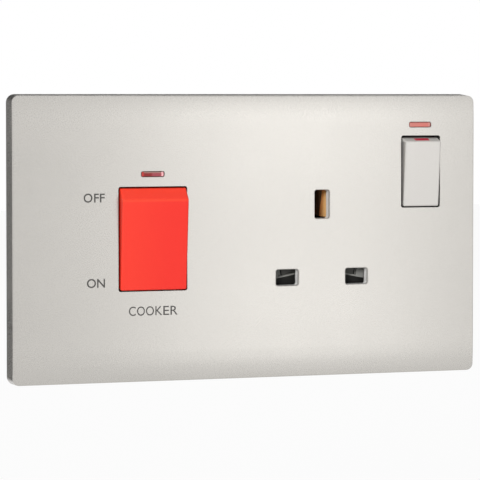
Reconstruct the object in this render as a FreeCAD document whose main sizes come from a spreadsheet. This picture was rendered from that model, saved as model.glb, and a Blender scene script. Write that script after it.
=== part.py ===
import FreeCAD, Part
import math
import os
from types import SimpleNamespace

import Sketcher

# Cooker control unit: a 45 A double-pole rocker and a switched 13 A socket behind one cover plate.
# X runs to the right, Y into the wall, Z up. The origin is the middle of the plate on the wall plane.

# Driving sizes, in millimetres and degrees
SIZES = {
    # Cover plate
    "plate_width": 145.2,
    "plate_height": 85.6,
    "plate_depth": 7.7,
    "plate_draft": 0.52,
    "plate_corner": 2.0,
    "plate_skin": 2.2,
    "plate_rim": 1.8,
    "plate_edge": 0.4,
    "roll_width": 9.0,
    "roll_drop": 0.45,
    "opening_corner": 0.7,
    "rocker_lip": 0.5,
    "lip_relief": 1.2,
    "hook_place": 46.0,
    "hook_width": 10.0,
    "hook_reach": 0.9,
    "hook_thick": 1.2,
    "hook_back": 0.5,
    # Socket slots
    "socket_place": 23.0,
    "pin_row": -12.55,
    "pin_spacing": 22.23,
    "slot_width": 7.15,
    "slot_height": 4.95,
    "earth_slot_width": 4.7,
    "earth_slot_height": 8.75,
    "slot_edge": 0.25,
    "collar_depth": 3.4,
    "collar_wall": 1.2,
    # Rockers
    "pivot_back": 1.7,
    "rocker_tilt": 6.0,
    "rocker_gap": 0.3,
    "rocker_wall": 1.8,
    "rocker_front": 2.2,
    "rocker_edge": 0.5,
    "skirt_back": 2.5,
    "trunnion_radius": 1.6,
    "trunnion_length": 2.2,
    "trunnion_play": 0.06,
    "cooker_place": -30.0,
    "cooker_level": 0.0,
    "cooker_opening_width": 20.9,
    "cooker_opening_height": 31.4,
    "cooker_rise": 2.12,
    "cooker_facet": 2.73,
    "cooker_facet_drop": 1.61,
    "cooker_top_gap": 0.07,
    "cooker_foot_gap": 1.1,
    "cooker_left_room": 0.3,
    "switch_place": 55.0,
    "switch_level": 19.4,
    "switch_opening_width": 12.8,
    "switch_opening_height": 22.3,
    "switch_rise": 1.54,
    "switch_facet": 0.7,
    "switch_facet_drop": 1.115,
    "switch_top_gap": 0.3,
    "switch_foot_gap": 1.07,
    "switch_draft": 0.3,
    "flag_width": 4.65,
    "flag_thick": 0.5,
    "flag_low": 0.04,
    "flag_high": 0.68,
    # Indicators
    "window_width": 7.3,
    "window_height": 1.8,
    "window_corner": 0.6,
    "window_shift": 0.2,
    "cooker_window_level": 19.4,
    "switch_window_level": 33.9,
    "lens_play": 0.08,
    "lens_sink": 0.12,
    "lens_flange": 1.0,
    "lens_flange_rim": 1.1,
    "lamp_radius": 1.4,
    "lamp_length": 6.0,
    "lamp_back": 2.0,
    "lamp_play": 0.3,
    "lead_radius": 0.3,
    "lead_half": 3.0,
    "lead_front": 4.5,
    "lead_back": 10.0,
    "lead_inset": 0.7,
    "lead_end": 1.2,
    "lead_drop": 1.5,
    "resistor_radius": 0.8,
    "resistor_length": 6.0,
    # Support frame
    "frame_thick": 4.2,
    "frame_gap": 0.3,
    "deck_thick": 1.2,
    "recess_corner": 0.35,
    "fixing_centres": 120.6,
    "fixing_radius": 2.1,
    "fixing_slot": 7.0,
    "fixing_seat": 2.2,
    "boss_thick": 2.6,
    "boss_height": 8.0,
    "boss_back": 2.2,
    # Rear housing
    "housing_width": 104.0,
    "housing_height": 66.0,
    "housing_depth": 24.0,
    "housing_wall": 2.0,
    "housing_corner": 3.0,
    "shoulder_right": 64.0,
    "shoulder_bottom": 7.5,
    "shoulder_top": 36.0,
    "shoulder_wall": 1.4,
    "rib_thick": 1.6,
    "rib_corner": 0.25,
    "rib_front": 9.0,
    "post_radius": 3.0,
    "post_inset": 5.5,
    "post_right": 40.0,
    "post_low_right": 44.0,
    "post_level": 28.4,
    "screw_seat": 5.0,
    "screw_radius": 1.1,
    "screw_head_radius": 2.0,
    "screw_head": 1.5,
    "screw_drive": 2.4,
    "screw_bite": 3.0,
    "screw_play": 0.2,
    # Switch mechanism
    "pole_offset": 5.6,
    "plunger_reach": 13.0,
    "plunger_radius": 1.75,
    "plunger_nose": 1.45,
    "plunger_play": 0.15,
    "plunger_shoulder": 4.0,
    "plunger_stem": 0.8,
    "plunger_stem_length": 3.0,
    "plunger_travel": 0.35,
    "tube_radius": 2.9,
    "tube_back": 6.0,
    "tube_bottom": 3.2,
    "arm_tilt": 10.0,
    "arm_play": 0.12,
    "arm_offset": 2.0,
    "arm_thick": 1.0,
    "arm_width": 4.6,
    "arm_up": 9.6,
    "arm_down": 7.0,
    "saddle_half": 2.0,
    "saddle_play": 0.1,
    "contact_level": 7.9,
    "contact_radius": 1.5,
    "contact_thick": 0.9,
    "contact_gap": 0.1,
    "rivet_radius": 0.7,
    "rivet_play": 0.03,
    "strip_thick": 1.2,
    "strip_width": 4.0,
    "strip_level": 17.5,
    "web_thick": 1.4,
    # Terminals
    "block_width": 9.4,
    "block_height": 11.5,
    "block_depth": 11.0,
    "cable_radius": 3.1,
    "cable_depth": 10.0,
    "cable_back": 15.3,
    "entry_play": 0.5,
    "clamp_radius": 2.1,
    "clamp_head_radius": 2.5,
    "clamp_head": 1.6,
    "clamp_play": 0.05,
    "clamp_pitch": 5.8,
    "clamp_slot": 0.7,
    "earth_block_width": 14.0,
    "earth_cable_radius": 2.5,
    "earth_cable_offset": 3.6,
    # Pin clips and links
    "clip_leaf": 0.8,
    "clip_gap": 3.7,
    "clip_flare": 1.25,
    "clip_lip": 5.0,
    "clip_width": 6.2,
    "clip_front": 2.2,
    "earth_clip_front": 3.9,
    "earth_clip_height": 8.2,
    "earth_clip_back": 15.5,
    "earth_clip_play": 0.4,
    "link_thick": 1.0,
    "link_width": 4.4,
    "live_link_back": 6.5,
    "live_link_level": 23.2,
    "live_link_right": 47.6,
    "riser_width": 3.0,
    "outlet_left": 44.5,
    "neutral_link_level": 23.2,
    # Shutter
    "shutter_width": 33.2,
    "shutter_thick": 3.8,
    "shutter_play": 0.2,
    "shutter_bottom": -17.2,
    "shutter_height": 10.2,
    "shutter_travel": 7.2,
    "ramp_slope": 42.0,
    "ridge_slant": 11.0,
    "ridge_level": -12.75,
    "ridge_strip": 0.45,
    "ridge_sink": 1.0,
    "ridge_cheek": 2.3,
    "peg_length": 2.0,
    "shutter_spring_radius": 1.3,
    "shutter_spring_length": 11.0,
    "shutter_spring_wire": 0.2,
    "shutter_spring_turns": 6.0,
    "plunger_spring_radius": 1.4,
    "plunger_spring_wire": 0.18,
    "plunger_spring_turns": 6.0,
    "coil_play": 0.25,
    "rail_width": 1.8,
}


class Size:
    """A size of the part: its number, and the sheet formula that gives it."""

    def __init__(self, number, formula):
        self.number = number
        self.formula = formula

    def join(self, sign, other, work):
        other = as_size(other)
        return Size(work(self.number, other.number), f"({self.formula} {sign} {other.formula})")

    def __add__(self, other):
        return self.join("+", other, lambda a, b: a + b)

    def __sub__(self, other):
        return self.join("-", other, lambda a, b: a - b)

    def __mul__(self, other):
        return self.join("*", other, lambda a, b: a * b)

    def __truediv__(self, other):
        return self.join("/", other, lambda a, b: a / b)

    def __radd__(self, other):
        return as_size(other) + self

    def __rsub__(self, other):
        return as_size(other) - self

    def __rmul__(self, other):
        return as_size(other) * self

    def __neg__(self):
        return as_size(0) - self


def as_size(value):
    return value if isinstance(value, Size) else Size(float(value), str(value))


def sine(angle):
    return Size(math.sin(math.radians(angle.number)), f"sin({angle.formula})")


def cosine(angle):
    return Size(math.cos(math.radians(angle.number)), f"cos({angle.formula})")


doc = FreeCAD.newDocument("CookerControlUnit")
sheet = doc.addObject("Spreadsheet::Sheet", "Sizes")
for row, (name, number) in enumerate(SIZES.items(), start=1):
    sheet.set(f"A{row}", str(number))
    sheet.setAlias(f"A{row}", name)
doc.recompute()
d = SimpleNamespace(**{name: Size(number, f"Sizes.{name}") for name, number in SIZES.items()})

nodes = []
RIGHT = FreeCAD.Vector(1, 0, 0)
INWARD = FreeCAD.Vector(0, 1, 0)
UP = FreeCAD.Vector(0, 0, 1)
AXES = {"x": FreeCAD.Rotation(UP, RIGHT), "y": FreeCAD.Rotation(UP, INWARD), "z": FreeCAD.Rotation()}
# An edge this close to a level counts as lying on it
NEAR = 0.05


def bind(thing, field, value):
    """Tie one property of an object to the sheet."""
    thing.setExpression(field, as_size(value).formula)


def place(thing, x, y, z, turn=None):
    """Put an object at a point, tied to the sheet, with a fixed turn where it has one."""
    thing.Placement = FreeCAD.Placement(FreeCAD.Vector(), turn or FreeCAD.Rotation())
    for letter, value in zip("xyz", (x, y, z)):
        bind(thing, f"Placement.Base.{letter}", value)
    return thing


def frame_text(x, y, z, axis, angle):
    """Sheet formula of one frame: a shift, then a turn about its own axis."""
    shift = "; ".join(as_size(value).formula for value in (x, y, z))
    along = "; ".join(str(value) for value in axis)
    turn = f"create(<<rotation>>; create(<<vector>>; {along}); {as_size(angle).formula})"
    return f"create(<<placement>>; create(<<vector>>; {shift}); {turn})"


def place_in(thing, *frames):
    """Put an object in a chain of frames, each one given in the frame before it."""
    thing.setExpression("Placement", " * ".join(frame_text(*frame) for frame in frames))
    return thing


def keep(thing, label):
    """Hand a finished sub-part over under its own name."""
    thing.Label = label
    nodes.append(thing)
    return thing


# Part primitives and joins


def new_box(name, width, depth, height):
    box = doc.addObject("Part::Box", name)
    bind(box, "Length", width)
    bind(box, "Width", depth)
    bind(box, "Height", height)
    return box


def block(name, left, front, bottom, width, depth, height):
    """A box given by its lower left front corner and its size."""
    return place(new_box(name, width, depth, height), left, front, bottom)


def tilted_block(name, left, front, bottom, width, depth, height, hinge_y, hinge_z, angle):
    """A box in a frame that is turned about an X axis at the hinge by the given angle."""
    box = new_box(name, width, depth, height)
    return place_in(box, (0, hinge_y, hinge_z, RIGHT, angle), (left, front, bottom, RIGHT, 0))


def new_cylinder(name, radius, length):
    cylinder = doc.addObject("Part::Cylinder", name)
    bind(cylinder, "Radius", radius)
    bind(cylinder, "Height", length)
    return cylinder


def rod(name, axis, x, y, z, radius, length):
    """A cylinder from a point along one axis."""
    return place(new_cylinder(name, radius, length), x, y, z, AXES[axis])


def tilted_rod(name, x, front, level, radius, length, hinge_y, hinge_z, angle):
    """A cylinder along the inward axis of a frame turned about an X axis at the hinge."""
    cylinder = new_cylinder(name, radius, length)
    return place_in(cylinder, (0, hinge_y, hinge_z, RIGHT, angle), (x, front, level, RIGHT, -90))


def ball(name, x, y, z, radius):
    sphere = doc.addObject("Part::Sphere", name)
    bind(sphere, "Radius", radius)
    return place(sphere, x, y, z)


def fuse(name, pieces):
    joined = doc.addObject("Part::MultiFuse", name)
    joined.Shapes = pieces
    joined.Refine = True
    return joined


def cut(name, base, tools):
    trimmed = doc.addObject("Part::Cut", name)
    trimmed.Base = base
    trimmed.Tool = tools[0] if len(tools) == 1 else fuse(name + "Tools", tools)
    return trimmed


def group(name, pieces):
    gathered = doc.addObject("Part::Compound", name)
    gathered.Links = pieces
    return gathered


def coil(name, radius, wire, length, turns):
    """A helical spring along its own Z, its end turns inside the given length."""
    helix = doc.addObject("Part::Helix", name + "Path")
    bind(helix, "Radius", radius)
    bind(helix, "Height", length - 2 * wire)
    bind(helix, "Pitch", (length - 2 * wire) / turns)
    section = doc.addObject("Part::Circle", name + "Wire")
    bind(section, "Radius", wire)
    place(section, radius, 0, 0, FreeCAD.Rotation(RIGHT, 90))
    spring = doc.addObject("Part::Sweep", name)
    spring.Sections = [section]
    spring.Spine = (helix, ["Edge1"])
    spring.Solid = True
    spring.Frenet = True
    return spring


def wire_run(name, corners, radius):
    """A round wire through corners that are joined along one axis at a time."""
    pieces = []
    for step, (start, end) in enumerate(zip(corners, corners[1:])):
        spans = [as_size(b).number - as_size(a).number for a, b in zip(start, end)]
        way = max(range(3), key=lambda i: abs(spans[i]))
        low, high = (start, end) if spans[way] > 0 else (end, start)
        pieces.append(rod(f"{name}Run{step}", "xyz"[way], *low, radius, as_size(high[way]) - low[way]))
        if step:
            pieces.append(ball(f"{name}Bend{step}", *start, radius))
    return pieces[0] if len(pieces) == 1 else fuse(name, pieces)


# Moulded and formed bodies from sketches


def new_body(name):
    return doc.addObject("PartDesign::Body", name)


def sketch_on(body, name, plane, across, along, out):
    """A sketch on one origin plane of the body, shifted in the plane and along its normal."""
    sketch = body.newObject("Sketcher::SketchObject", name)
    support = next(face for face in body.Origin.OriginFeatures if face.Role == plane)
    sketch.AttachmentSupport = [(support, "")]
    sketch.MapMode = "FlatFace"
    for letter, value in zip("xyz", (across, along, out)):
        bind(sketch, f"AttachmentOffset.Base.{letter}", value)
    return sketch


def measure(sketch, name, constraint, value):
    """Add a named size to a sketch and tie it to the sheet."""
    sketch.renameConstraint(sketch.addConstraint(constraint), name)
    bind(sketch, f"Constraints.{name}", value)


def draw_rounded(sketch, width, height, corner):
    """A rectangle with round corners about the sketch's own origin."""
    width, height, corner = as_size(width), as_size(height), as_size(corner)
    half_w, half_h, r = width.number / 2, height.number / 2, corner.number
    point = FreeCAD.Vector
    sides = [((r - half_w, -half_h), (half_w - r, -half_h)), ((half_w, r - half_h), (half_w, half_h - r)),
             ((half_w - r, half_h), (r - half_w, half_h)), ((-half_w, half_h - r), (-half_w, r - half_h))]
    centres = [(half_w - r, r - half_h), (half_w - r, half_h - r),
               (r - half_w, half_h - r), (r - half_w, r - half_h)]
    edges = []
    for turn, ((start, end), centre) in enumerate(zip(sides, centres)):
        edges.append(sketch.addGeometry(Part.LineSegment(point(*start, 0), point(*end, 0)), False))
        circle = Part.Circle(point(*centre, 0), UP, r)
        first = math.pi / 2 * (turn - 1)
        edges.append(sketch.addGeometry(Part.ArcOfCircle(circle, first, first + math.pi / 2), False))
    rule = Sketcher.Constraint
    for i in range(8):
        sketch.addConstraint(rule("Tangent", edges[i], 2, edges[(i + 1) % 8], 1))
    for i, way in enumerate(("Horizontal", "Vertical", "Horizontal", "Vertical")):
        sketch.addConstraint(rule(way, edges[2 * i]))
    for i in (3, 5, 7):
        sketch.addConstraint(rule("Equal", edges[1], edges[i]))
    sketch.addConstraint(rule("Symmetric", edges[1], 3, edges[5], 3, -1, 1))
    measure(sketch, "wide", rule("DistanceX", edges[6], 1, edges[2], 1, width.number), width)
    measure(sketch, "tall", rule("DistanceY", edges[0], 1, edges[4], 1, height.number), height)
    measure(sketch, "corner", rule("Radius", edges[1], corner.number), corner)
    return sketch


def draw_slot(sketch, length, radius):
    """A level slot with half-round ends about the sketch's own origin."""
    half, r = length.number / 2 - radius.number, radius.number
    point = FreeCAD.Vector
    low = sketch.addGeometry(Part.LineSegment(point(-half, -r, 0), point(half, -r, 0)), False)
    right = sketch.addGeometry(
        Part.ArcOfCircle(Part.Circle(point(half, 0, 0), UP, r), -math.pi / 2, math.pi / 2), False)
    top = sketch.addGeometry(Part.LineSegment(point(half, r, 0), point(-half, r, 0)), False)
    left = sketch.addGeometry(
        Part.ArcOfCircle(Part.Circle(point(-half, 0, 0), UP, r), math.pi / 2, 3 * math.pi / 2), False)
    rule = Sketcher.Constraint
    for a, b in ((low, right), (right, top), (top, left), (left, low)):
        sketch.addConstraint(rule("Tangent", a, 2, b, 1))
    sketch.addConstraint(rule("Horizontal", low))
    sketch.addConstraint(rule("Symmetric", right, 3, left, 3, -1, 1))
    measure(sketch, "centres", rule("DistanceX", left, 3, right, 3, 2 * half), length - 2 * radius)
    measure(sketch, "end", rule("Radius", right, r), radius)
    return sketch


def draw_circle(sketch, radius):
    circle = sketch.addGeometry(Part.Circle(FreeCAD.Vector(), UP, as_size(radius).number), False)
    sketch.addConstraint(Sketcher.Constraint("Coincident", circle, 3, -1, 1))
    measure(sketch, "radius", Sketcher.Constraint("Radius", circle, as_size(radius).number), radius)
    return sketch


def draw_outline(sketch, corners):
    """A closed outline of straight sides through corners measured from the sketch's origin."""
    corners = [(as_size(u), as_size(v)) for u, v in corners]
    points = [FreeCAD.Vector(u.number, v.number, 0) for u, v in corners]
    count = len(points)
    for i in range(count):
        sketch.addGeometry(Part.LineSegment(points[i], points[(i + 1) % count]), False)
    rule = Sketcher.Constraint
    for i in range(count):
        sketch.addConstraint(rule("Coincident", i, 2, (i + 1) % count, 1))
    for i, (u, v) in enumerate(corners):
        measure(sketch, f"across{i}", rule("DistanceX", -1, 1, i, 1, u.number), u)
        measure(sketch, f"along{i}", rule("DistanceY", -1, 1, i, 1, v.number), v)
    return sketch


def extrude(body, kind, sketch, length, flip=False, both=False):
    """A Pad or Pocket of a sketch; flip runs it against its usual way, both to both sides."""
    feature = body.newObject(f"PartDesign::{kind}", sketch.Name + kind)
    feature.Profile = sketch
    bind(feature, "Length", length)
    feature.Reversed = flip
    feature.Midplane = both
    sketch.Visibility = False
    return feature


def plate_pad(body, name, x, y, z, width, height, corner, length, flip=False):
    """Pad a rounded rectangle that faces the front, from depth y toward the front, or back if flipped."""
    sketch = draw_rounded(sketch_on(body, name, "XZ_Plane", x, z, -as_size(y)), width, height, corner)
    return extrude(body, "Pad", sketch, length, flip)


def plate_pocket(body, name, x, y, z, width, height, corner, length, flip=False):
    """Cut a rounded rectangle from depth y toward the back, or toward the front if flipped."""
    sketch = draw_rounded(sketch_on(body, name, "XZ_Plane", x, z, -as_size(y)), width, height, corner)
    return extrude(body, "Pocket", sketch, length, flip)


def round_edges(body, name, base, wanted, radius):
    """Round those edges of a feature that the test accepts."""
    doc.recompute()
    names = [f"Edge{i}" for i, edge in enumerate(base.Shape.Edges, start=1) if wanted(edge)]
    fillet = body.newObject("PartDesign::Fillet", name)
    fillet.Base = (base, names)
    bind(fillet, "Radius", radius)
    return fillet


def finish_body(body, last, label):
    body.Tip = last
    return keep(body, label)


# Levels that several pieces share
front = -d.plate_depth
skin_back = d.plate_skin - d.plate_depth
collar_back = d.collar_depth - d.plate_depth
cavity_width = d.plate_width - 2 * d.plate_rim
cavity_height = d.plate_height - 2 * d.plate_rim
frame_front = -d.frame_thick
pivot_y = -d.pivot_back
pivot_depth = d.plate_depth - d.pivot_back
floor_y = d.housing_depth - d.housing_wall
earth_level = d.pin_row + d.pin_spacing
neutral_place = d.socket_place - d.pin_spacing / 2
live_place = d.socket_place + d.pin_spacing / 2
wall_top = d.housing_height / 2 - d.housing_wall
arm_hinge_y = pivot_y + d.plunger_reach + d.arm_play + d.arm_offset
poles = {"line": d.cooker_place - d.pole_offset, "neutral": d.cooker_place + d.pole_offset}

rockers = {
    "cooker": SimpleNamespace(
        x=d.cooker_place, z=d.cooker_level, width=d.cooker_opening_width, height=d.cooker_opening_height,
        rise=d.cooker_rise, facet=d.cooker_facet, drop=d.cooker_facet_drop, top_gap=d.cooker_top_gap,
        foot_gap=d.cooker_foot_gap, left_room=d.cooker_left_room, window=d.cooker_window_level,
        window_x=d.cooker_place - d.window_shift, plungers={"line": -d.pole_offset, "neutral": d.pole_offset}),
    "socket": SimpleNamespace(
        x=d.switch_place, z=d.switch_level, width=d.switch_opening_width, height=d.switch_opening_height,
        rise=d.switch_rise, facet=d.switch_facet, drop=d.switch_facet_drop, top_gap=d.switch_top_gap,
        foot_gap=d.switch_foot_gap, left_room=as_size(0), window=d.switch_window_level,
        window_x=d.switch_place - d.window_shift, plungers={"": as_size(0)}),
}
pin_slots = {
    "Live": (live_place, d.pin_row, d.slot_width, d.slot_height),
    "Neutral": (neutral_place, d.pin_row, d.slot_width, d.slot_height),
    "Earth": (d.socket_place, earth_level, d.earth_slot_width, d.earth_slot_height),
}
posts = {
    "LeftTop": (d.post_inset - d.housing_width / 2, d.post_level),
    "LeftLow": (d.post_inset - d.housing_width / 2, -d.post_level),
    "RightTop": (d.post_right, d.post_level),
    "RightLow": (d.post_low_right, -d.post_level),
}


# Cover plate: drafted shell, front rolled off at the top and bottom edges


def make_cover_plate():
    body = new_body("CoverPlate")
    wide = d.plate_width + 2 * d.plate_draft
    tall = d.plate_height + 2 * d.plate_draft
    back_outline = draw_rounded(sketch_on(body, "BackOutline", "XZ_Plane", 0, 0, 0), wide, tall,
                                d.plate_corner + d.plate_draft)
    front_outline = draw_rounded(sketch_on(body, "FrontOutline", "XZ_Plane", 0, 0, d.plate_depth),
                                 d.plate_width, d.plate_height, d.plate_corner)
    shell = body.newObject("PartDesign::AdditiveLoft", "Shell")
    shell.Profile = back_outline
    shell.Sections = [front_outline]
    shell.Ruled = True
    roll = extrude(body, "Pocket", draw_roll(body), 2 * d.plate_width, both=True)
    doc.recompute()
    lower_roll = body.newObject("PartDesign::Mirrored", "LowerRoll")
    lower_roll.Originals = [roll]
    level_plane = next(face for face in body.Origin.OriginFeatures if face.Role == "XY_Plane")
    lower_roll.MirrorPlane = (level_plane, [""])
    body.Tip = lower_roll
    rim_x = d.plate_width.number / 2 - d.plate_corner.number - NEAR
    rim_z = d.plate_height.number / 2 - d.plate_corner.number - NEAR
    rim_y = front.number + d.roll_drop.number + 2 * NEAR

    def on_front_rim(edge):
        middle = edge.CenterOfMass
        return edge.BoundBox.YMax < rim_y and (abs(middle.x) > rim_x or abs(middle.z) > rim_z)

    round_edges(body, "FrontRim", lower_roll, on_front_rim, d.plate_edge)
    plate_pocket(body, "Cavity", 0, 0, 0, cavity_width, cavity_height, d.plate_corner,
                 d.plate_depth - d.plate_skin, flip=True)
    for name, (x, z, width, height) in pin_slots.items():
        plate_pad(body, name + "Collar", x, collar_back, z, width + 2 * d.collar_wall,
                  height + 2 * d.collar_wall, d.opening_corner + d.collar_wall,
                  d.collar_depth - d.plate_skin + d.plate_skin / 4)
    for name, rocker in rockers.items():
        plate_pocket(body, name + "Relief", rocker.x, front + d.rocker_lip, rocker.z,
                     rocker.width + 2 * d.lip_relief, rocker.height + 2 * d.lip_relief,
                     d.opening_corner + d.lip_relief, d.plate_skin - d.rocker_lip)
    for name, (x, z, width, height) in pin_slots.items():
        last = plate_pocket(body, name + "Slot", x, front, z, width, height, d.opening_corner, d.plate_depth)

    def on_slot(edge):
        middle = edge.CenterOfMass
        inside = abs(middle.x) < rim_x - d.plate_rim.number and abs(middle.z) < rim_z - d.roll_width.number
        return inside and edge.BoundBox.YMax < front.number + NEAR

    round_edges(body, "SlotEdges", last, on_slot, d.slot_edge)
    for name, rocker in rockers.items():
        plate_pocket(body, name + "Opening", rocker.x - rocker.left_room / 2, front, rocker.z,
                     rocker.width + rocker.left_room, rocker.height, d.opening_corner, d.plate_depth)
        last = plate_pocket(body, name + "Window", rocker.window_x, front, rocker.window, d.window_width,
                            d.window_height, d.window_corner, d.plate_depth)
    hook_tall = d.hook_reach + d.plate_rim / 2
    for side in (-1, 1):
        for level in (-1, 1):
            last = plate_pad(body, f"Hook{'L' if side < 0 else 'R'}{'Low' if level < 0 else 'Top'}",
                             side * d.hook_place, -d.hook_back,
                             level * (cavity_height / 2 + d.plate_rim / 2 - hook_tall / 2),
                             d.hook_width, hook_tall, d.hook_reach / 4, d.hook_thick)
    return finish_body(body, last, "cover_plate")


def draw_roll(body):
    """The region above the cover's front that its top edge falls away from, along a wide arc."""
    sketch = sketch_on(body, "Roll", "YZ_Plane", 0, 0, 0)
    radius = (d.roll_width * d.roll_width + d.roll_drop * d.roll_drop) / (2 * d.roll_drop)
    start = d.plate_height / 2 - d.roll_width
    top = d.plate_height / 2 + d.plate_draft + d.plate_edge
    outer = front - d.plate_edge
    centre = FreeCAD.Vector(front.number + radius.number, start.number, 0)
    sweep = math.asin((top.number - start.number) / radius.number)
    arc = sketch.addGeometry(
        Part.ArcOfCircle(Part.Circle(centre, UP, radius.number), math.pi - sweep, math.pi), False)
    upper_end = FreeCAD.Vector(centre.x - radius.number * math.cos(sweep), top.number, 0)
    corners = [FreeCAD.Vector(front.number, start.number, 0), FreeCAD.Vector(outer.number, start.number, 0),
               FreeCAD.Vector(outer.number, top.number, 0), upper_end]
    sides = [sketch.addGeometry(Part.LineSegment(a, b), False) for a, b in zip(corners, corners[1:])]
    rule = Sketcher.Constraint
    sketch.addConstraint(rule("Coincident", arc, 2, sides[0], 1))
    sketch.addConstraint(rule("Coincident", sides[0], 2, sides[1], 1))
    sketch.addConstraint(rule("Coincident", sides[1], 2, sides[2], 1))
    sketch.addConstraint(rule("Coincident", sides[2], 2, arc, 1))
    sketch.addConstraint(rule("Horizontal", sides[0]))
    sketch.addConstraint(rule("Vertical", sides[1]))
    sketch.addConstraint(rule("Horizontal", sides[2]))
    sketch.addConstraint(rule("Horizontal", arc, 3, arc, 2))
    measure(sketch, "depth", rule("DistanceX", -1, 1, arc, 2, front.number), front)
    measure(sketch, "start", rule("DistanceY", -1, 1, arc, 3, start.number), start)
    measure(sketch, "bend", rule("Radius", arc, radius.number), radius)
    measure(sketch, "top", rule("DistanceY", -1, 1, sides[2], 1, top.number), top)
    measure(sketch, "outer", rule("DistanceX", -1, 1, sides[1], 1, outer.number), outer)
    return sketch


# Support frame: carries the cover, the rocker bearings and the shutter


def make_support_frame():
    body = new_body("SupportFrame")
    wide = cavity_width - 2 * d.frame_gap
    tall = cavity_height - 2 * d.frame_gap
    plate_pad(body, "FrameOutline", 0, 0, 0, wide, tall, d.plate_corner, d.frame_thick)
    for name, rocker in rockers.items():
        boss_reach = rocker.width / 2 + d.rocker_gap + d.trunnion_length / 2
        for letter, side in (("L", -1), ("R", 1)):
            plate_pad(body, f"{name}Boss{letter}", rocker.x + side * boss_reach, 0, rocker.z, d.boss_thick,
                      d.boss_height, d.opening_corner, d.boss_back, flip=True)
    for name, rocker in rockers.items():
        plate_pocket(body, name + "Well", rocker.x, frame_front, rocker.z, rocker.width,
                     rocker.height + 2 * d.lip_relief, d.opening_corner, d.frame_thick + d.boss_back)
        bearing = draw_circle(sketch_on(body, name + "Bearing", "YZ_Plane", pivot_y, rocker.z, rocker.x),
                              d.trunnion_radius + d.trunnion_play)
        extrude(body, "Pocket", bearing, rocker.width + 2 * d.trunnion_length, both=True)
        plate_pocket(body, name + "LampSlot", rocker.x, frame_front, rocker.window,
                     d.lamp_length + 2 * d.lamp_radius + 2 * d.lamp_play, 2 * (d.lamp_radius + d.lamp_play),
                     d.recess_corner, d.frame_thick)
    for letter, side in (("L", -1), ("R", 1)):
        fixing = sketch_on(body, "Fixing" + letter, "XZ_Plane", side * d.fixing_centres / 2, 0, d.frame_thick)
        extrude(body, "Pocket", draw_slot(fixing, d.fixing_slot, d.fixing_radius), d.frame_thick)
        plate_pocket(body, "FixingSeat" + letter, side * d.fixing_centres / 2, frame_front, 0,
                     d.fixing_slot + d.fixing_seat * 2, 4 * d.fixing_radius, d.opening_corner, d.fixing_seat)
    catch_tall = d.hook_reach + d.frame_gap
    for side in (-1, 1):
        for level in (-1, 1):
            plate_pocket(body, f"Catch{'L' if side < 0 else 'R'}{'Low' if level < 0 else 'Top'}",
                         side * d.hook_place, 0, level * (tall / 2 - catch_tall / 2 + d.frame_gap),
                         d.hook_width + 4 * d.frame_gap, catch_tall, d.hook_reach / 4,
                         d.hook_back + d.hook_thick + d.frame_gap, flip=True)
    shutter_room = d.shutter_height + d.shutter_travel + 2 * d.shutter_play
    plate_pocket(body, "ShutterRoom", d.socket_place, 0, d.shutter_bottom - d.shutter_play + shutter_room / 2,
                 d.shutter_width + 2 * d.shutter_play, shutter_room, d.recess_corner,
                 d.frame_thick - d.deck_thick, flip=True)
    channel_width = 2 * (d.shutter_spring_radius + d.shutter_spring_wire + d.coil_play)
    channel_bottom = d.shutter_bottom + d.shutter_height
    plate_pocket(body, "SpringChannel", d.socket_place, 0, channel_bottom + d.shutter_spring_length / 2,
                 channel_width, d.shutter_spring_length, d.recess_corner, d.frame_thick - d.deck_thick,
                 flip=True)
    for name in ("Live", "Neutral"):
        x, z, width, height = pin_slots[name]
        plate_pocket(body, name + "Hole", x, frame_front, z, width + 2 * d.slot_edge,
                     height + 2 * d.slot_edge, d.opening_corner, d.deck_thick + d.shutter_play)
    lip_half = d.clip_gap / 2 + d.clip_flare + d.clip_leaf + d.earth_clip_play
    last = plate_pocket(body, "EarthHole", d.socket_place, frame_front, earth_level, 2 * lip_half,
                        d.earth_slot_height + 2 * d.earth_clip_play, d.opening_corner, d.frame_thick)
    for name, (x, z) in posts.items():
        pilot = draw_circle(sketch_on(body, name + "Pilot", "XZ_Plane", x, z, 0),
                            d.screw_radius + d.clamp_play)
        last = extrude(body, "Pocket", pilot, d.screw_bite + d.screw_play, flip=True)
    return finish_body(body, last, "support_frame")


# Rear housing: moulded box with cells for the poles, open to the frame


def floor_rib(body, name, left, right, bottom, top, start):
    """A wall on the housing's floor that rises to the given depth."""
    return plate_pad(body, name, (left + right) / 2, floor_y, (bottom + top) / 2, right - left, top - bottom,
                     d.rib_corner, floor_y - start)


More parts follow.
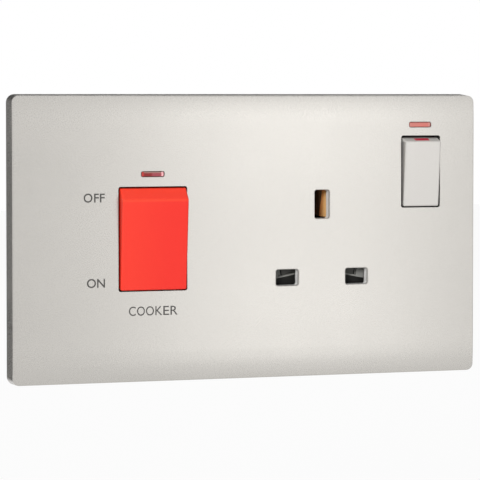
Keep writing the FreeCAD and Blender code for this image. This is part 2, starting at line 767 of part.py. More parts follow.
def make_rear_housing():
    body = new_body("RearHousing")
    half_w, half_h = d.housing_width / 2, d.housing_height / 2
    plate_pad(body, "MainBox", 0, 0, 0, d.housing_width, d.housing_height, d.housing_corner,
              d.housing_depth, flip=True)
    shoulder_left = half_w - 2 * d.housing_wall
    plate_pad(body, "Shoulder", (shoulder_left + d.shoulder_right) / 2, 0,
              (d.shoulder_bottom + d.shoulder_top) / 2, d.shoulder_right - shoulder_left,
              d.shoulder_top - d.shoulder_bottom, d.housing_wall / 2, d.housing_depth, flip=True)
    plate_pocket(body, "MainRoom", 0, 0, 0, d.housing_width - 2 * d.housing_wall,
                 d.housing_height - 2 * d.housing_wall, d.housing_corner - d.housing_wall, floor_y)
    room_left = shoulder_left + d.shoulder_wall
    room_right = d.shoulder_right - d.shoulder_wall
    room_bottom = d.shoulder_bottom + d.shoulder_wall
    room_top = d.shoulder_top - d.shoulder_wall
    plate_pocket(body, "ShoulderRoom", (room_left + room_right) / 2, 0, (room_bottom + room_top) / 2,
                 room_right - room_left, room_top - room_bottom, 2 * d.rib_corner, floor_y)
    cell = d.pole_offset + d.block_width / 2 + d.screw_play
    floor_rib(body, "PoleRib", d.cooker_place - d.rib_thick / 2, d.cooker_place + d.rib_thick / 2,
              -wall_top - d.housing_wall / 2, wall_top + d.housing_wall / 2, d.rib_front)
    for name, side in (("LeftRib", -1), ("RightRib", 1)):
        inner = d.cooker_place + side * cell
        outer = inner + side * d.rib_thick
        left, right = (outer, inner) if side < 0 else (inner, outer)
        floor_rib(body, name, left, right, -wall_top - d.housing_wall / 2, wall_top + d.housing_wall / 2,
                  d.rib_front)
    block_front = floor_y - d.block_depth
    earth_top = d.block_height - wall_top + d.screw_play
    floor_rib(body, "EarthRib", -d.earth_block_width / 2, d.earth_block_width / 2, earth_top,
              earth_top + d.rib_thick, block_front)
    for name, x in (("Left", neutral_place - d.clip_width / 2 - d.coil_play - d.rail_width),
                    ("Right", live_place + d.clip_width / 2 + d.coil_play)):
        floor_rib(body, name + "Rail", x, x + d.rail_width, d.shutter_bottom,
                  d.shutter_bottom + d.shutter_height + d.shutter_travel,
                  d.shutter_thick - d.frame_thick + d.deck_thick + 2 * d.shutter_play)
    strip_back = d.strip_level + d.link_thick
    for name, x in (("Live", live_place), ("Neutral", neutral_place)):
        floor_rib(body, name + "Seat", x - d.clip_width / 2, x + d.clip_width / 2,
                  d.pin_row - d.link_width / 2, d.pin_row + d.link_width / 2, strip_back)
    earth_seat = d.earth_clip_back + d.link_thick
    floor_rib(body, "EarthSeat", d.socket_place - d.link_width / 2, d.socket_place + d.link_width / 2,
              earth_level - d.link_width / 2, earth_level + d.link_width / 2, earth_seat)
    floor_rib(body, "OutletSeat", d.switch_place - d.link_width / 2, d.switch_place + d.link_width / 2,
              d.switch_level - d.link_width / 2, d.switch_level + d.link_width / 2,
              d.strip_level + d.strip_thick)
    plate_pocket(body, "RailNotch", live_place + d.clip_width / 2 + d.coil_play + d.rail_width / 2,
                 d.strip_level - d.screw_play, d.pin_row, 2 * d.rail_width, d.link_width + 4 * d.screw_play,
                 d.rib_corner, d.link_thick + 2 * d.screw_play)
    boss_offset = d.switch_opening_width / 2 + d.rocker_gap + d.trunnion_length / 2
    plate_pocket(body, "BossNotch", d.switch_place + boss_offset, 0, d.switch_level,
                 d.boss_thick + 2 * d.screw_play, d.boss_height + 2 * d.screw_play, d.rib_corner,
                 d.boss_back + d.screw_play)
    plate_pocket(body, "LinkNotch", d.cooker_place + cell + d.rib_thick / 2, d.strip_level - d.screw_play,
                 d.neutral_link_level, 2 * d.rib_thick, d.link_width + 4 * d.screw_play, d.rib_corner,
                 d.link_thick + 2 * d.screw_play)
    for name, (x, z) in posts.items():
        post = draw_circle(sketch_on(body, name + "Post", "XZ_Plane", x, z, -floor_y), d.post_radius)
        extrude(body, "Pad", post, floor_y)
        hole = draw_circle(sketch_on(body, name + "ScrewHole", "XZ_Plane", x, z, 0),
                           d.screw_radius + d.screw_play)
        extrude(body, "Pocket", hole, d.housing_depth)
        bore = draw_circle(sketch_on(body, name + "ScrewBore", "XZ_Plane", x, z, -d.screw_seat),
                           d.screw_head_radius + d.screw_play)
        extrude(body, "Pocket", bore, d.housing_depth)
    for name, (x, z, _) in clamps().items():
        access = draw_circle(sketch_on(body, name + "Access", "XZ_Plane", x, z, -floor_y),
                             d.clamp_head_radius + d.screw_play)
        last = extrude(body, "Pocket", access, d.housing_wall)
    for name, (x, side, radius) in cables().items():
        half = radius + d.entry_play
        last = plate_pocket(body, name + "Entry", x, d.cable_back - half,
                            side * (half_h - d.housing_wall / 2), 2 * half,
                            d.housing_wall + 4 * d.rib_corner, d.rib_corner, d.housing_depth)
    return finish_body(body, last, "rear_housing")


def cables():
    """Cable entries by name: place, side (1 top, -1 bottom) and bore radius."""
    entries = {}
    for pole, x in poles.items():
        entries[f"Supply{pole}"] = (x, 1, d.cable_radius)
        entries[f"Load{pole}"] = (x, -1, d.cable_radius)
    for number, side in enumerate((-1, 1)):
        entries[f"Earth{number}"] = (side * d.earth_cable_offset, -1, d.earth_cable_radius)
    return entries


def clamps():
    """Clamping screws by name: place, level and the radius of the bore that each one opens into."""
    screws = {}
    middle = wall_top - d.block_height / 2
    for pole, x in poles.items():
        for number, step in enumerate((-1, 1)):
            screws[f"Supply{pole}{number}"] = (x, middle + step * d.clamp_pitch / 2, d.cable_radius)
            screws[f"Load{pole}{number}"] = (x, -middle + step * d.clamp_pitch / 2, d.cable_radius)
    for number, side in enumerate((-1, 1)):
        screws[f"Earth{number}"] = (side * d.earth_cable_offset, -middle, d.earth_cable_radius)
    return screws


# Screws


def make_housing_screws():
    screws = []
    for name, (x, z) in posts.items():
        shank = rod(name + "Shank", "y", x, -d.screw_bite, z, d.screw_radius, d.screw_bite + d.screw_seat)
        head = rod(name + "Head", "y", x, d.screw_seat, z, d.screw_head_radius, d.screw_head)
        drive_y = d.screw_seat + d.screw_head / 2
        drive = [block(name + "DriveA", x - d.screw_drive / 2, drive_y, z - d.clamp_slot / 2, d.screw_drive,
                       d.screw_head, d.clamp_slot),
                 block(name + "DriveB", x - d.clamp_slot / 2, drive_y, z - d.screw_drive / 2, d.clamp_slot,
                       d.screw_head, d.screw_drive)]
        screws.append(cut(name + "Screw", fuse(name + "Blank", [shank, head]), drive))
    keep(group("HousingScrews", screws), "housing_screws")


def make_clamp_screws():
    families = {"terminal_screws": [], "earth_screws": []}
    for name, (x, z, bore) in clamps().items():
        tip = d.cable_back + bore + d.screw_play
        shank = rod(name + "Clamp", "y", x, tip, z, d.clamp_radius, floor_y - tip)
        head = rod(name + "ClampHead", "y", x, floor_y, z, d.clamp_head_radius, d.clamp_head)
        slot = block(name + "ClampSlot", x - d.clamp_head_radius, floor_y + d.clamp_head / 2,
                     z - d.clamp_slot / 2, 2 * d.clamp_head_radius, d.clamp_head, d.clamp_slot)
        family = "earth_screws" if name.startswith("Earth") else "terminal_screws"
        families[family].append(cut(name + "ClampScrew", fuse(name + "ClampBlank", [shank, head]), [slot]))
    for label, screws in families.items():
        keep(group(label.title().replace("_", ""), screws), label)


# Rockers with their plungers and springs


def rocker_profile(rocker):
    """Side outline about the pivot, before the tilt: foot, face, ridge, facet and skirt."""
    face = -(pivot_depth + rocker.rise)
    top = rocker.height / 2 - rocker.top_gap
    foot = rocker.foot_gap - rocker.height / 2
    facet_end = rocker.drop - pivot_depth
    return SimpleNamespace(face=face, top=top, foot=foot, facet_end=facet_end, ridge=top - rocker.facet)


def flag_outline(rocker):
    """Side outline of the mark that is let into the rocker's upper end."""
    side = rocker_profile(rocker)
    run_y = side.face - side.facet_end
    run_z = side.ridge - side.top
    near, far = d.flag_low, d.flag_high
    return [(side.facet_end + near * run_y, side.top + near * run_z),
            (side.facet_end + far * run_y, side.top + far * run_z),
            (side.facet_end + far * run_y, side.top + far * run_z - d.flag_thick),
            (side.facet_end + near * run_y, side.top + near * run_z - d.flag_thick)]


def on_bearing(rocker, across=0):
    """The frame of a rocker on its bearing, tilted to the ON side."""
    return rocker.x + across, pivot_y, rocker.z, RIGHT, d.rocker_tilt


def make_rocker(name, rocker):
    body = new_body(name.title() + "Rocker")
    side = rocker_profile(rocker)
    width = rocker.width - 2 * d.rocker_gap
    corners = [(side.face, side.foot), (side.face, side.ridge), (side.facet_end, side.top),
               (d.skirt_back, side.top), (d.skirt_back, side.foot)]
    blank = extrude(body, "Pad", draw_outline(sketch_on(body, name + "Side", "YZ_Plane", 0, 0, 0), corners),
                    width, both=True)
    if name == "socket":
        for letter, sign in (("L", -1), ("R", 1)):
            edge = sign * width / 2
            wedge = [(edge, d.skirt_back), (edge, side.face), (edge - sign * d.switch_draft, side.face)]
            draft = draw_outline(sketch_on(body, "Draft" + letter, "XY_Plane", 0, 0, 0), wedge)
            blank = extrude(body, "Pocket", draft, 2 * rocker.height, both=True)

    def on_face(edge):
        return edge.BoundBox.YMin < side.facet_end.number - d.rocker_edge.number

    round_edges(body, name + "FaceEdges", blank, on_face, d.rocker_edge)
    room_top = side.ridge - d.rocker_edge
    room_foot = side.foot + d.rocker_wall
    room_depth = d.skirt_back - side.face - d.rocker_front
    plate_pocket(body, name + "Room", 0, d.skirt_back, (room_top + room_foot) / 2, width - 2 * d.rocker_wall,
                 room_top - room_foot, d.opening_corner, room_depth, flip=True)
    trunnion = draw_circle(sketch_on(body, name + "Trunnion", "YZ_Plane", 0, 0, 0), d.trunnion_radius)
    last = extrude(body, "Pad", trunnion, width + 2 * d.trunnion_length, both=True)
    for number, across in enumerate(rocker.plungers.values()):
        tube = draw_circle(sketch_on(body, f"{name}Tube{number}", "XZ_Plane", across, 0, -d.tube_back),
                           d.tube_radius)
        extrude(body, "Pad", tube, d.tube_back - side.face - d.rocker_front + d.rocker_front / 4)
        bore = draw_circle(sketch_on(body, f"{name}Bore{number}", "XZ_Plane", across, 0, -d.tube_back),
                           d.plunger_radius + d.plunger_play)
        last = extrude(body, "Pocket", bore, d.tube_back + d.tube_bottom, flip=True)
    if name == "socket":
        seat = draw_outline(sketch_on(body, "FlagSeat", "YZ_Plane", 0, 0, 0), flag_outline(rocker))
        last = extrude(body, "Pocket", seat, d.flag_width, both=True)
    place_in(finish_body(body, last, f"{name}_rocker"), on_bearing(rocker))
    for pole, across in rocker.plungers.items():
        suffix = f"_{pole}" if pole else ""
        make_plunger(name, rocker, across, suffix)


def make_flag(rocker):
    body = new_body("OnFlag")
    mark = draw_outline(sketch_on(body, "FlagSide", "YZ_Plane", 0, 0, 0), flag_outline(rocker))
    flag = finish_body(body, extrude(body, "Pad", mark, d.flag_width, both=True), "socket_on_flag")
    place_in(flag, on_bearing(rocker))


def make_plunger(name, rocker, across, suffix):
    """Round-nosed plunger and its spring, in a tube of the rocker."""
    body = new_body(f"{name.title()}Plunger{suffix}")
    shaft = draw_circle(sketch_on(body, f"{name}Shaft{suffix}", "XZ_Plane", 0, 0, -d.plunger_shoulder),
                        d.plunger_radius)
    shaft_pad = extrude(body, "Pad", shaft, d.plunger_reach - d.plunger_shoulder, flip=True)

    def on_nose(edge):
        return edge.BoundBox.YMin > d.plunger_reach.number - NEAR

    round_edges(body, f"{name}Nose{suffix}", shaft_pad, on_nose, d.plunger_nose)
    stem = draw_circle(sketch_on(body, f"{name}Stem{suffix}", "XZ_Plane", 0, 0, -d.plunger_shoulder),
                       d.plunger_stem)
    plunger = finish_body(body, extrude(body, "Pad", stem, d.plunger_stem_length), f"{name}_plunger{suffix}")
    place_in(plunger, on_bearing(rocker, across))
    length = d.tube_bottom + d.plunger_shoulder - d.plunger_travel - 2 * d.screw_play
    spring = coil(f"{name.title()}Spring{suffix}", d.plunger_spring_radius, d.plunger_spring_wire, length,
                  d.plunger_spring_turns)
    start = d.screw_play + d.plunger_spring_wire - d.tube_bottom
    place_in(spring, on_bearing(rocker, across), (0, start, 0, RIGHT, -90))
    keep(spring, f"{name}_plunger_spring{suffix}")


# Contact arms, contacts and the strips that carry them


def make_arm(label, x, z):
    """See-saw arm on its fulcrum, tipped so that its upper contact is closed, with the moving contact."""
    arm_front = -d.arm_offset
    arm_back = d.arm_thick - d.arm_offset
    left = x - d.arm_width / 2
    pieces = [(left, arm_front, -d.arm_down, d.arm_width, d.arm_thick, d.arm_down + d.arm_up),
              (left, arm_back - d.arm_thick / 4, -d.saddle_half, d.arm_width, d.arm_thick / 4 - arm_back,
               2 * d.saddle_half)]
    solids = [tilted_block(f"{label}Blank{i}", *sizes, arm_hinge_y, z, -d.arm_tilt)
              for i, sizes in enumerate(pieces)]
    fulcrum_room = rod(label + "Saddle", "x", left - d.arm_width / 2, arm_hinge_y, z, -arm_back,
                       2 * d.arm_width)
    rivet_hole = tilted_rod(label + "RivetHole", x, arm_front - d.arm_thick, d.contact_level,
                            d.rivet_radius + d.rivet_play, 3 * d.arm_thick, arm_hinge_y, z, -d.arm_tilt)
    keep(cut(label + "Arm", fuse(label + "Blank", solids), [fulcrum_room, rivet_hole]), label)
    head = tilted_rod(label + "ContactHead", x, arm_back, d.contact_level, d.contact_radius, d.contact_thick,
                      arm_hinge_y, z, -d.arm_tilt)
    rivet = tilted_rod(label + "ContactRivet", x, arm_front, d.contact_level, d.rivet_radius,
                       d.arm_thick + d.contact_thick / 2, arm_hinge_y, z, -d.arm_tilt)
    keep(fuse(label + "Contact", [head, rivet]), label.replace("_arm", "_moving_contact"))


def fixed_contact_side(label, x, z, top):
    """Fixed contact and the slanted strip behind it, which runs up to the given height over the fulcrum."""
    face = d.arm_thick - d.arm_offset + d.contact_thick + d.contact_gap
    back = face + d.contact_thick
    head = tilted_rod(label + "FixedHead", x, face, d.contact_level, d.contact_radius, d.contact_thick,
                      arm_hinge_y, z, -d.arm_tilt)
    rivet = tilted_rod(label + "FixedRivet", x, back - d.contact_thick / 2, d.contact_level, d.rivet_radius,
                       d.strip_thick + d.contact_thick / 2, arm_hinge_y, z, -d.arm_tilt)
    contact = fuse(label + "FixedContact", [head, rivet])
    bottom = d.contact_level - d.contact_radius - d.strip_thick / 2
    strip = tilted_block(label + "Strip", x - d.strip_width / 2, back, bottom, d.strip_width, d.strip_thick,
                         top - bottom, arm_hinge_y, z, -d.arm_tilt)
    hole = tilted_rod(label + "StripHole", x, back - d.strip_thick, d.contact_level,
                      d.rivet_radius + d.rivet_play, 3 * d.strip_thick, arm_hinge_y, z, -d.arm_tilt)
    return contact, strip, hole


def fulcrum(label, x, z):
    """Round-nosed fulcrum on a web that stands on its strip."""
    nose = rod(label + "Nose", "x", x - d.strip_width / 2, arm_hinge_y, z,
               d.arm_offset - d.arm_thick - d.saddle_play, d.strip_width)
    web = block(label + "Web", x - d.strip_width / 2, arm_hinge_y, z - d.web_thick / 2, d.strip_width,
                d.strip_level + d.strip_thick / 2 - arm_hinge_y, d.web_thick)
    return [nose, web]


def terminal_block(label, x, width, side, bores, radius, screws):
    """Brass block on the housing's floor with blind cable bores and threaded holes from the rear."""
    low = wall_top - d.block_height if side > 0 else -wall_top
    body = block(label + "Block", x - width / 2, floor_y - d.block_depth, low, width, d.block_depth,
                 d.block_height)
    tools = []
    for number, bore_x in enumerate(bores):
        start = wall_top - d.cable_depth if side > 0 else -wall_top
        tools.append(rod(f"{label}Bore{number}", "z", bore_x, d.cable_back, start, radius, d.cable_depth))
    for number, (screw_x, screw_z) in enumerate(screws):
        tools.append(rod(f"{label}Thread{number}", "y", screw_x, d.cable_back, screw_z,
                         d.clamp_radius + d.clamp_play, floor_y - d.cable_back))
    return body, tools


def make_cooker_terminals():
    contacts = []
    for pole, x in poles.items():
        rows = [(sx, sz) for name, (sx, sz, _) in clamps().items() if name.startswith(f"Supply{pole}")]
        blank, tools = terminal_block(f"Supply{pole}", x, d.block_width, 1, [x], d.cable_radius, rows)
        reach = (wall_top - d.block_height - d.cooker_level) / cosine(d.arm_tilt) + d.strip_thick / 2
        contact, strip, hole = fixed_contact_side(f"Supply{pole}", x, d.cooker_level, reach)
        contacts.append(contact)
        joined = fuse(f"Supply{pole}Blank", [cut(f"Supply{pole}Bored", blank, tools), strip])
        keep(cut(f"Supply{pole}Terminal", joined, [hole]), f"supply_{pole}_terminal")
        rows = [(sx, sz) for name, (sx, sz, _) in clamps().items() if name.startswith(f"Load{pole}")]
        blank, tools = terminal_block(f"Load{pole}", x, d.block_width, -1, [x], d.cable_radius, rows)
        foot = d.block_height - wall_top - d.strip_thick / 2
        strip = block(f"Load{pole}Strip", x - d.strip_width / 2, d.strip_level, foot, d.strip_width,
                      d.strip_thick, d.cooker_level + d.web_thick - foot)
        pieces = [cut(f"Load{pole}Bored", blank, tools), strip] + fulcrum(f"Load{pole}", x, d.cooker_level)
        keep(fuse(f"Load{pole}Terminal", pieces), f"load_{pole}_terminal")
        make_arm(f"cooker_arm_{pole}", x, d.cooker_level)
    keep(group("CookerFixedContacts", contacts), "cooker_fixed_contacts")


def make_earth_terminal():
    bores = [side * d.earth_cable_offset for side in (-1, 1)]
    rows = [(x, z) for name, (x, z, _) in clamps().items() if name.startswith("Earth")]
    blank, tools = terminal_block("Earth", as_size(0), d.earth_block_width, -1, bores,
                                  d.earth_cable_radius, rows)
    keep(cut("EarthTerminal", blank, tools), "earth_terminal")


# Switched socket: pin clips, links and the single-pole switch


def make_clip(label, x, z, upright, width, front_y, back_y):
    """Formed brass clip; its leaves stand left and right of the pin, or above and below it."""
    inner = d.clip_gap / 2
    outer = inner + d.clip_leaf
    flare = inner + d.clip_flare
    waist = front_y + d.clip_lip
    body = new_body(label.title().replace("_", ""))
    plane = ("XY_Plane", x, 0, z) if upright else ("YZ_Plane", 0, z, x)
    sketch = sketch_on(body, label + "_outline", *plane)
    inside = [(flare, front_y), (inner, waist), (inner, back_y - d.clip_leaf)]
    outside = [(outer, back_y), (outer, waist), (flare + d.clip_leaf, front_y)]
    mirrored = [(-u, v) for u, v in reversed(outside + inside)]
    outline = inside + mirrored + outside
    draw_outline(sketch, outline if upright else [(v, u) for u, v in outline])
    pad = extrude(body, "Pad", sketch, width, both=True)

    def on_waist(edge):
        box = edge.BoundBox
        return abs(box.YMin - waist.number) < NEAR and abs(box.YMax - waist.number) < NEAR

    finish_body(body, round_edges(body, label + "_bends", pad, on_waist, d.clip_lip), label)


def make_links():
    right_block = poles["neutral"] + d.block_width / 2
    half = d.link_width / 2
    back = d.strip_level
    pieces = [block("NeutralRiser", neutral_place - half, back, d.pin_row - half, d.link_width, d.link_thick,
                    d.neutral_link_level + half - d.pin_row + half),
              block("NeutralRun", right_block, back, d.neutral_link_level - half, neutral_place - right_block,
                    d.link_thick, d.link_width)]
    keep(fuse("NeutralLink", pieces), "neutral_link")
    earth_low = -wall_top + d.block_height / 2
    pieces = [block("EarthRiser", d.socket_place - half, d.earth_clip_back, earth_low - half, d.link_width,
                    d.link_thick, earth_level + half - earth_low + half),
              block("EarthRun", d.earth_block_width / 2, d.earth_clip_back, earth_low - half,
                    d.socket_place - d.earth_block_width / 2, d.link_thick, d.link_width)]
    keep(fuse("EarthLink", pieces), "earth_link")
    block_front = floor_y - d.block_depth
    left = poles["line"] - half
    level = d.live_link_level
    run_right = d.live_link_right
    riser_left = run_right - d.riser_width
    tail_back = switch_tail_front()
    riser_top = switch_tail_level() + half
    pieces = [block("LiveFoot", left, d.live_link_back, level - half, d.link_width,
                    block_front - d.live_link_back, d.link_thick),
              block("LiveRun", left, d.live_link_back, level - half, run_right - left, d.link_thick,
                    d.link_width),
              block("LiveRiser", riser_left, d.live_link_back, level - half, d.riser_width, d.link_thick,
                    riser_top - level + half),
              block("LiveLeg", riser_left, d.live_link_back, riser_top - d.link_thick, d.riser_width,
                    tail_back - d.live_link_back, d.link_thick)]
    keep(fuse("LiveLink", pieces), "live_link")


def switch_tail_front():
    """Depth of the switch feed strip's tail, at the fixed contact's own level."""
    face = d.arm_thick - d.arm_offset + 2 * d.contact_thick + d.contact_gap
    return arm_hinge_y + face * cosine(d.arm_tilt) + d.contact_level * sine(d.arm_tilt)


def switch_tail_level():
    return d.switch_level + d.contact_level + d.link_thick


def make_socket_switch():
    x, z = d.switch_place, d.switch_level
    contact, strip, hole = fixed_contact_side("SwitchFeed", x, z, d.contact_level + d.link_width)
    tail = block("SwitchTail", d.outlet_left, switch_tail_front(), switch_tail_level() - d.link_width / 2,
                 x - d.strip_width / 2 + d.strip_thick / 4 - d.outlet_left, d.strip_thick, d.link_width)
    keep(cut("SwitchFeed", fuse("SwitchFeedBlank", [strip, tail]), [hole]), "switch_feed_strip")
    keep(contact, "socket_fixed_contact")
    half = d.link_width / 2
    level = d.strip_level
    run = d.outlet_left + d.link_width - live_place + half
    pieces = [block("OutletHead", d.outlet_left, level, z - half, x + d.arm_width - d.outlet_left,
                    d.strip_thick, d.link_width),
              block("OutletRiser", d.outlet_left, level, d.pin_row - half, d.link_width, d.strip_thick,
                    z + half - d.pin_row + half),
              block("OutletRun", live_place - half, level, d.pin_row - half, run, d.link_thick,
                    d.link_width)]
    keep(fuse("SwitchOutlet", pieces + fulcrum("SwitchOutlet", x, z)), "switch_outlet_strip")
    make_arm("socket_arm", x, z)


# Shutter: dark slide with a ramp under a slanted ridge for each pin


def make_shutter():
    front_y = d.deck_thick - d.frame_thick + d.shutter_play
    left = d.socket_place - d.shutter_width / 2
    plate = block("ShutterPlate", left, front_y, d.shutter_bottom, d.shutter_width, d.shutter_thick,
                  d.shutter_height)
    peg = rod("ShutterPeg", "z", d.socket_place, front_y + d.shutter_thick / 2,
              d.shutter_bottom + d.shutter_height,
              d.shutter_spring_radius - d.shutter_spring_wire - d.coil_play, d.peg_length)
    half = d.shutter_width / 2
    tools = []
    for name, x, side in (("Live", live_place, 1), ("Neutral", neutral_place, -1)):
        ridge = (x, front_y, d.ridge_level, INWARD, side * d.ridge_slant)
        ramp = new_box(name + "Ramp", half, 3 * d.shutter_thick, d.shutter_height)
        tools.append(place_in(ramp, ridge, (0, 0, 0, RIGHT, -d.ramp_slope),
                              (-half / 2, -3 * d.shutter_thick, -d.shutter_height, RIGHT, 0)))
        cheek = d.slot_width / 2 - d.ridge_cheek
        left_end = cheek - half if side > 0 else -cheek
        sink = new_box(name + "Sink", half, 2 * d.ridge_sink, d.shutter_height)
        tools.append(place_in(sink, ridge, (left_end, -d.ridge_sink, d.ridge_strip, RIGHT, 0)))
    keep(cut("Shutter", fuse("ShutterBlank", [plate, peg]), tools), "shutter")
    spring = coil("ShutterSpring", d.shutter_spring_radius, d.shutter_spring_wire, d.shutter_spring_length,
                  d.shutter_spring_turns)
    place(spring, d.socket_place, front_y + d.shutter_thick / 2,
          d.shutter_bottom + d.shutter_height + d.shutter_spring_wire)
    keep(spring, "shutter_spring")


# Indicators: lens, lamp, leads and resistor


def make_lens(name, rocker):
    body = new_body(name.title() + "Lens")
    flange_wide = d.window_width + 2 * d.lens_flange_rim
    flange_tall = d.window_height + 2 * d.lens_flange_rim
    plate_pad(body, name + "Flange", rocker.window_x, skin_back + d.lens_flange, rocker.window, flange_wide,
              flange_tall, d.window_corner, d.lens_flange)
    boss = plate_pad(body, name + "Pane", rocker.window_x, skin_back + d.lens_flange / 2, rocker.window,
                     d.window_width - 2 * d.lens_play, d.window_height - 2 * d.lens_play, d.window_corner,
                     d.plate_skin - d.lens_sink + d.lens_flange / 2)
    face_y = front.number + d.lens_sink.number

    def on_pane(edge):
        return edge.BoundBox.YMax < face_y + NEAR

    pane = round_edges(body, name + "PaneEdges", boss, on_pane, 2 * d.lens_play)
    finish_body(body, pane, f"{name}_neon_lens")


def make_lamp(name, rocker):
    start = rocker.x - d.lamp_length / 2
    y = -d.lamp_back
    glass = [rod(name + "Glass", "x", start, y, rocker.window, d.lamp_radius, d.lamp_length),
             ball(name + "GlassLeft", start, y, rocker.window, d.lamp_radius),
             ball(name + "GlassRight", start + d.lamp_length, y, rocker.window, d.lamp_radius)]
    keep(fuse(name.title() + "Lamp", glass), f"{name}_neon_lamp")


def make_cooker_leads(rocker):
    lamp_rear = d.lamp_radius - d.lamp_back
    run_y = d.lead_front
    block_front = floor_y - d.block_depth
    end_level = d.block_height / 2 - wall_top
    offset = d.pole_offset + d.block_width / 2 - d.lead_inset
    resistor_top = -d.block_height
    leads = []
    for side, name in ((-1, "Left"), (1, "Right")):
        near = rocker.x + side * d.lead_half
        far = rocker.x + side * offset
        upper = [(near, lamp_rear, rocker.window), (near, run_y, rocker.window), (far, run_y, rocker.window)]
        if side < 0:
            leads.append(wire_run(f"Cooker{name}Upper", upper + [(far, run_y, resistor_top)], d.lead_radius))
            lower = [(far, run_y, resistor_top - d.resistor_length), (far, run_y, end_level),
                     (far, block_front, end_level)]
            leads.append(wire_run(f"Cooker{name}Lower", lower, d.lead_radius))
            resistor = rod("CookerResistor", "z", far, run_y, resistor_top - d.resistor_length,
                           d.resistor_radius, d.resistor_length)
            keep(resistor, "cooker_neon_resistor")
        else:
            lower = [(far, run_y, end_level), (far, block_front, end_level)]
            leads.append(wire_run(f"Cooker{name}", upper + lower, d.lead_radius))
    keep(group("CookerLeads", leads), "cooker_neon_leads")


def make_socket_leads(rocker):
    lamp_rear = d.lamp_radius - d.lamp_back
    run_y = d.lead_front
    back_y = d.lead_back
    left = rocker.x - d.lead_half
    right = rocker.x + d.lead_half
    outer_x = rocker.x + d.arm_width - d.lead_inset
    resistor_top = rocker.z + d.resistor_length * 2
    level = rocker.z - d.link_width / 2 + d.lead_end
    low = d.neutral_link_level - d.link_width / 2 - d.lead_drop
    runs = {
        "Upper": [(right, lamp_rear, rocker.window), (right, run_y, rocker.window),
                  (outer_x, run_y, rocker.window), (outer_x, run_y, resistor_top)],
        "Lower": [(outer_x, run_y, resistor_top - d.resistor_length), (outer_x, run_y, level),
                  (outer_x, d.strip_level, level)],
        "Return": [(left, lamp_rear, rocker.window), (left, back_y, rocker.window), (left, back_y, low),
                   (neutral_place, back_y, low), (neutral_place, d.strip_level, low)],
    }
    leads = [wire_run("Socket" + name, corners, d.lead_radius) for name, corners in runs.items()]
    keep(rod("SocketResistor", "z", outer_x, run_y, resistor_top - d.resistor_length, d.resistor_radius,
             d.resistor_length), "socket_neon_resistor")
    keep(group("SocketLeads", leads), "socket_neon_leads")


make_cover_plate()
make_support_frame()
make_rear_housing()
make_housing_screws()
make_flag(rockers["socket"])
make_cooker_terminals()
make_earth_terminal()
make_clamp_screws()
make_clip("live_contact", live_place, d.pin_row, False, d.clip_width, d.clip_front, d.strip_level)
make_clip("neutral_contact", neutral_place, d.pin_row, False, d.clip_width, d.clip_front, d.strip_level)
make_clip("earth_contact", d.socket_place, earth_level, True, d.earth_clip_height, -d.earth_clip_front,
          d.earth_clip_back)
make_links()
make_socket_switch()
make_shutter()
for name, rocker in rockers.items():
    make_rocker(name, rocker)
    make_lens(name, rocker)
    make_lamp(name, rocker)
make_cooker_leads(rockers["cooker"])
make_socket_leads(rockers["socket"])

doc.recompute()
faulty = [thing.Label for thing in doc.Objects if {"Invalid", "Error"} & set(thing.State)]
for node in nodes:
    if node.Shape.isNull() or not node.Shape.isValid() or not node.Shape.Solids:
        faulty.append(node.Label)
if faulty:
    raise RuntimeError("not built: " + ", ".join(faulty))
os.makedirs("parts", exist_ok=True)
for node in nodes:
    node.Shape.exportStep(f"parts/{node.Label}.step")
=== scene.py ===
import math

import bpy
import numpy as np
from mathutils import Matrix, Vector


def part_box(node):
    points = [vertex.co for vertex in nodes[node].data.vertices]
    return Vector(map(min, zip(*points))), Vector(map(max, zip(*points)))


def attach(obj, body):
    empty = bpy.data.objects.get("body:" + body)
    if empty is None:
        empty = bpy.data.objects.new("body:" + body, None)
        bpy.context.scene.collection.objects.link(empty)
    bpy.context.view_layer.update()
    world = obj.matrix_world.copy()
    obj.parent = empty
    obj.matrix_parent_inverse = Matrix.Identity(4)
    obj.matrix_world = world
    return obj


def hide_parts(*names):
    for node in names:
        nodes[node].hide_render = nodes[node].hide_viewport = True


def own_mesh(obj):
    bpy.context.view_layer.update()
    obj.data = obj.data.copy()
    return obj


# Cooker control unit dressed around its CAD frame. X runs to the right, Y into the wall, Z up.

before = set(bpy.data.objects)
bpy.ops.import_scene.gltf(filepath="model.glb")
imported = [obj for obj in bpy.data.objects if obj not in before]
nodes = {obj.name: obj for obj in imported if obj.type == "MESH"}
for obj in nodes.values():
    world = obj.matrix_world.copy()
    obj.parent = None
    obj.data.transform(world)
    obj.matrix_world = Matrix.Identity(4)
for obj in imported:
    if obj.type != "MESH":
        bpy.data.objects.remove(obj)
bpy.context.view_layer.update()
MM = 0.001
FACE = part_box("cover_plate")[0].y


# Finishes: a value in a material, and a material built up from such values


class Value:
    """One output in a material's nodes; arithmetic on it adds the nodes that work it out."""

    def __init__(self, finish, socket):
        self.finish = finish
        self.socket = socket

    def work(self, operation, *others):
        values = dict(enumerate((self, *others)))
        return self.finish.node("ShaderNodeMath", {"operation": operation}, values)

    def __add__(self, other):
        return self.work("ADD", other)

    def __sub__(self, other):
        return self.work("SUBTRACT", other)

    def __mul__(self, other):
        return self.work("MULTIPLY", other)

    __radd__ = __add__
    __rmul__ = __mul__

    def __rsub__(self, other):
        return self.work("MULTIPLY", -1.0) + other

    def size(self):
        return self.work("ABSOLUTE")

    def sway(self, amount):
        """How far a noise is from its middle value of 0.5, scaled."""
        return (self - 0.5) * amount

    def step(self, low, high):
        """0 below low, 1 above high, a smooth rise between them."""
        settings = {"interpolation_type": "SMOOTHSTEP"}
        values = {"Value": self, "From Min": low, "From Max": high}
        return self.finish.node("ShaderNodeMapRange", settings, values)


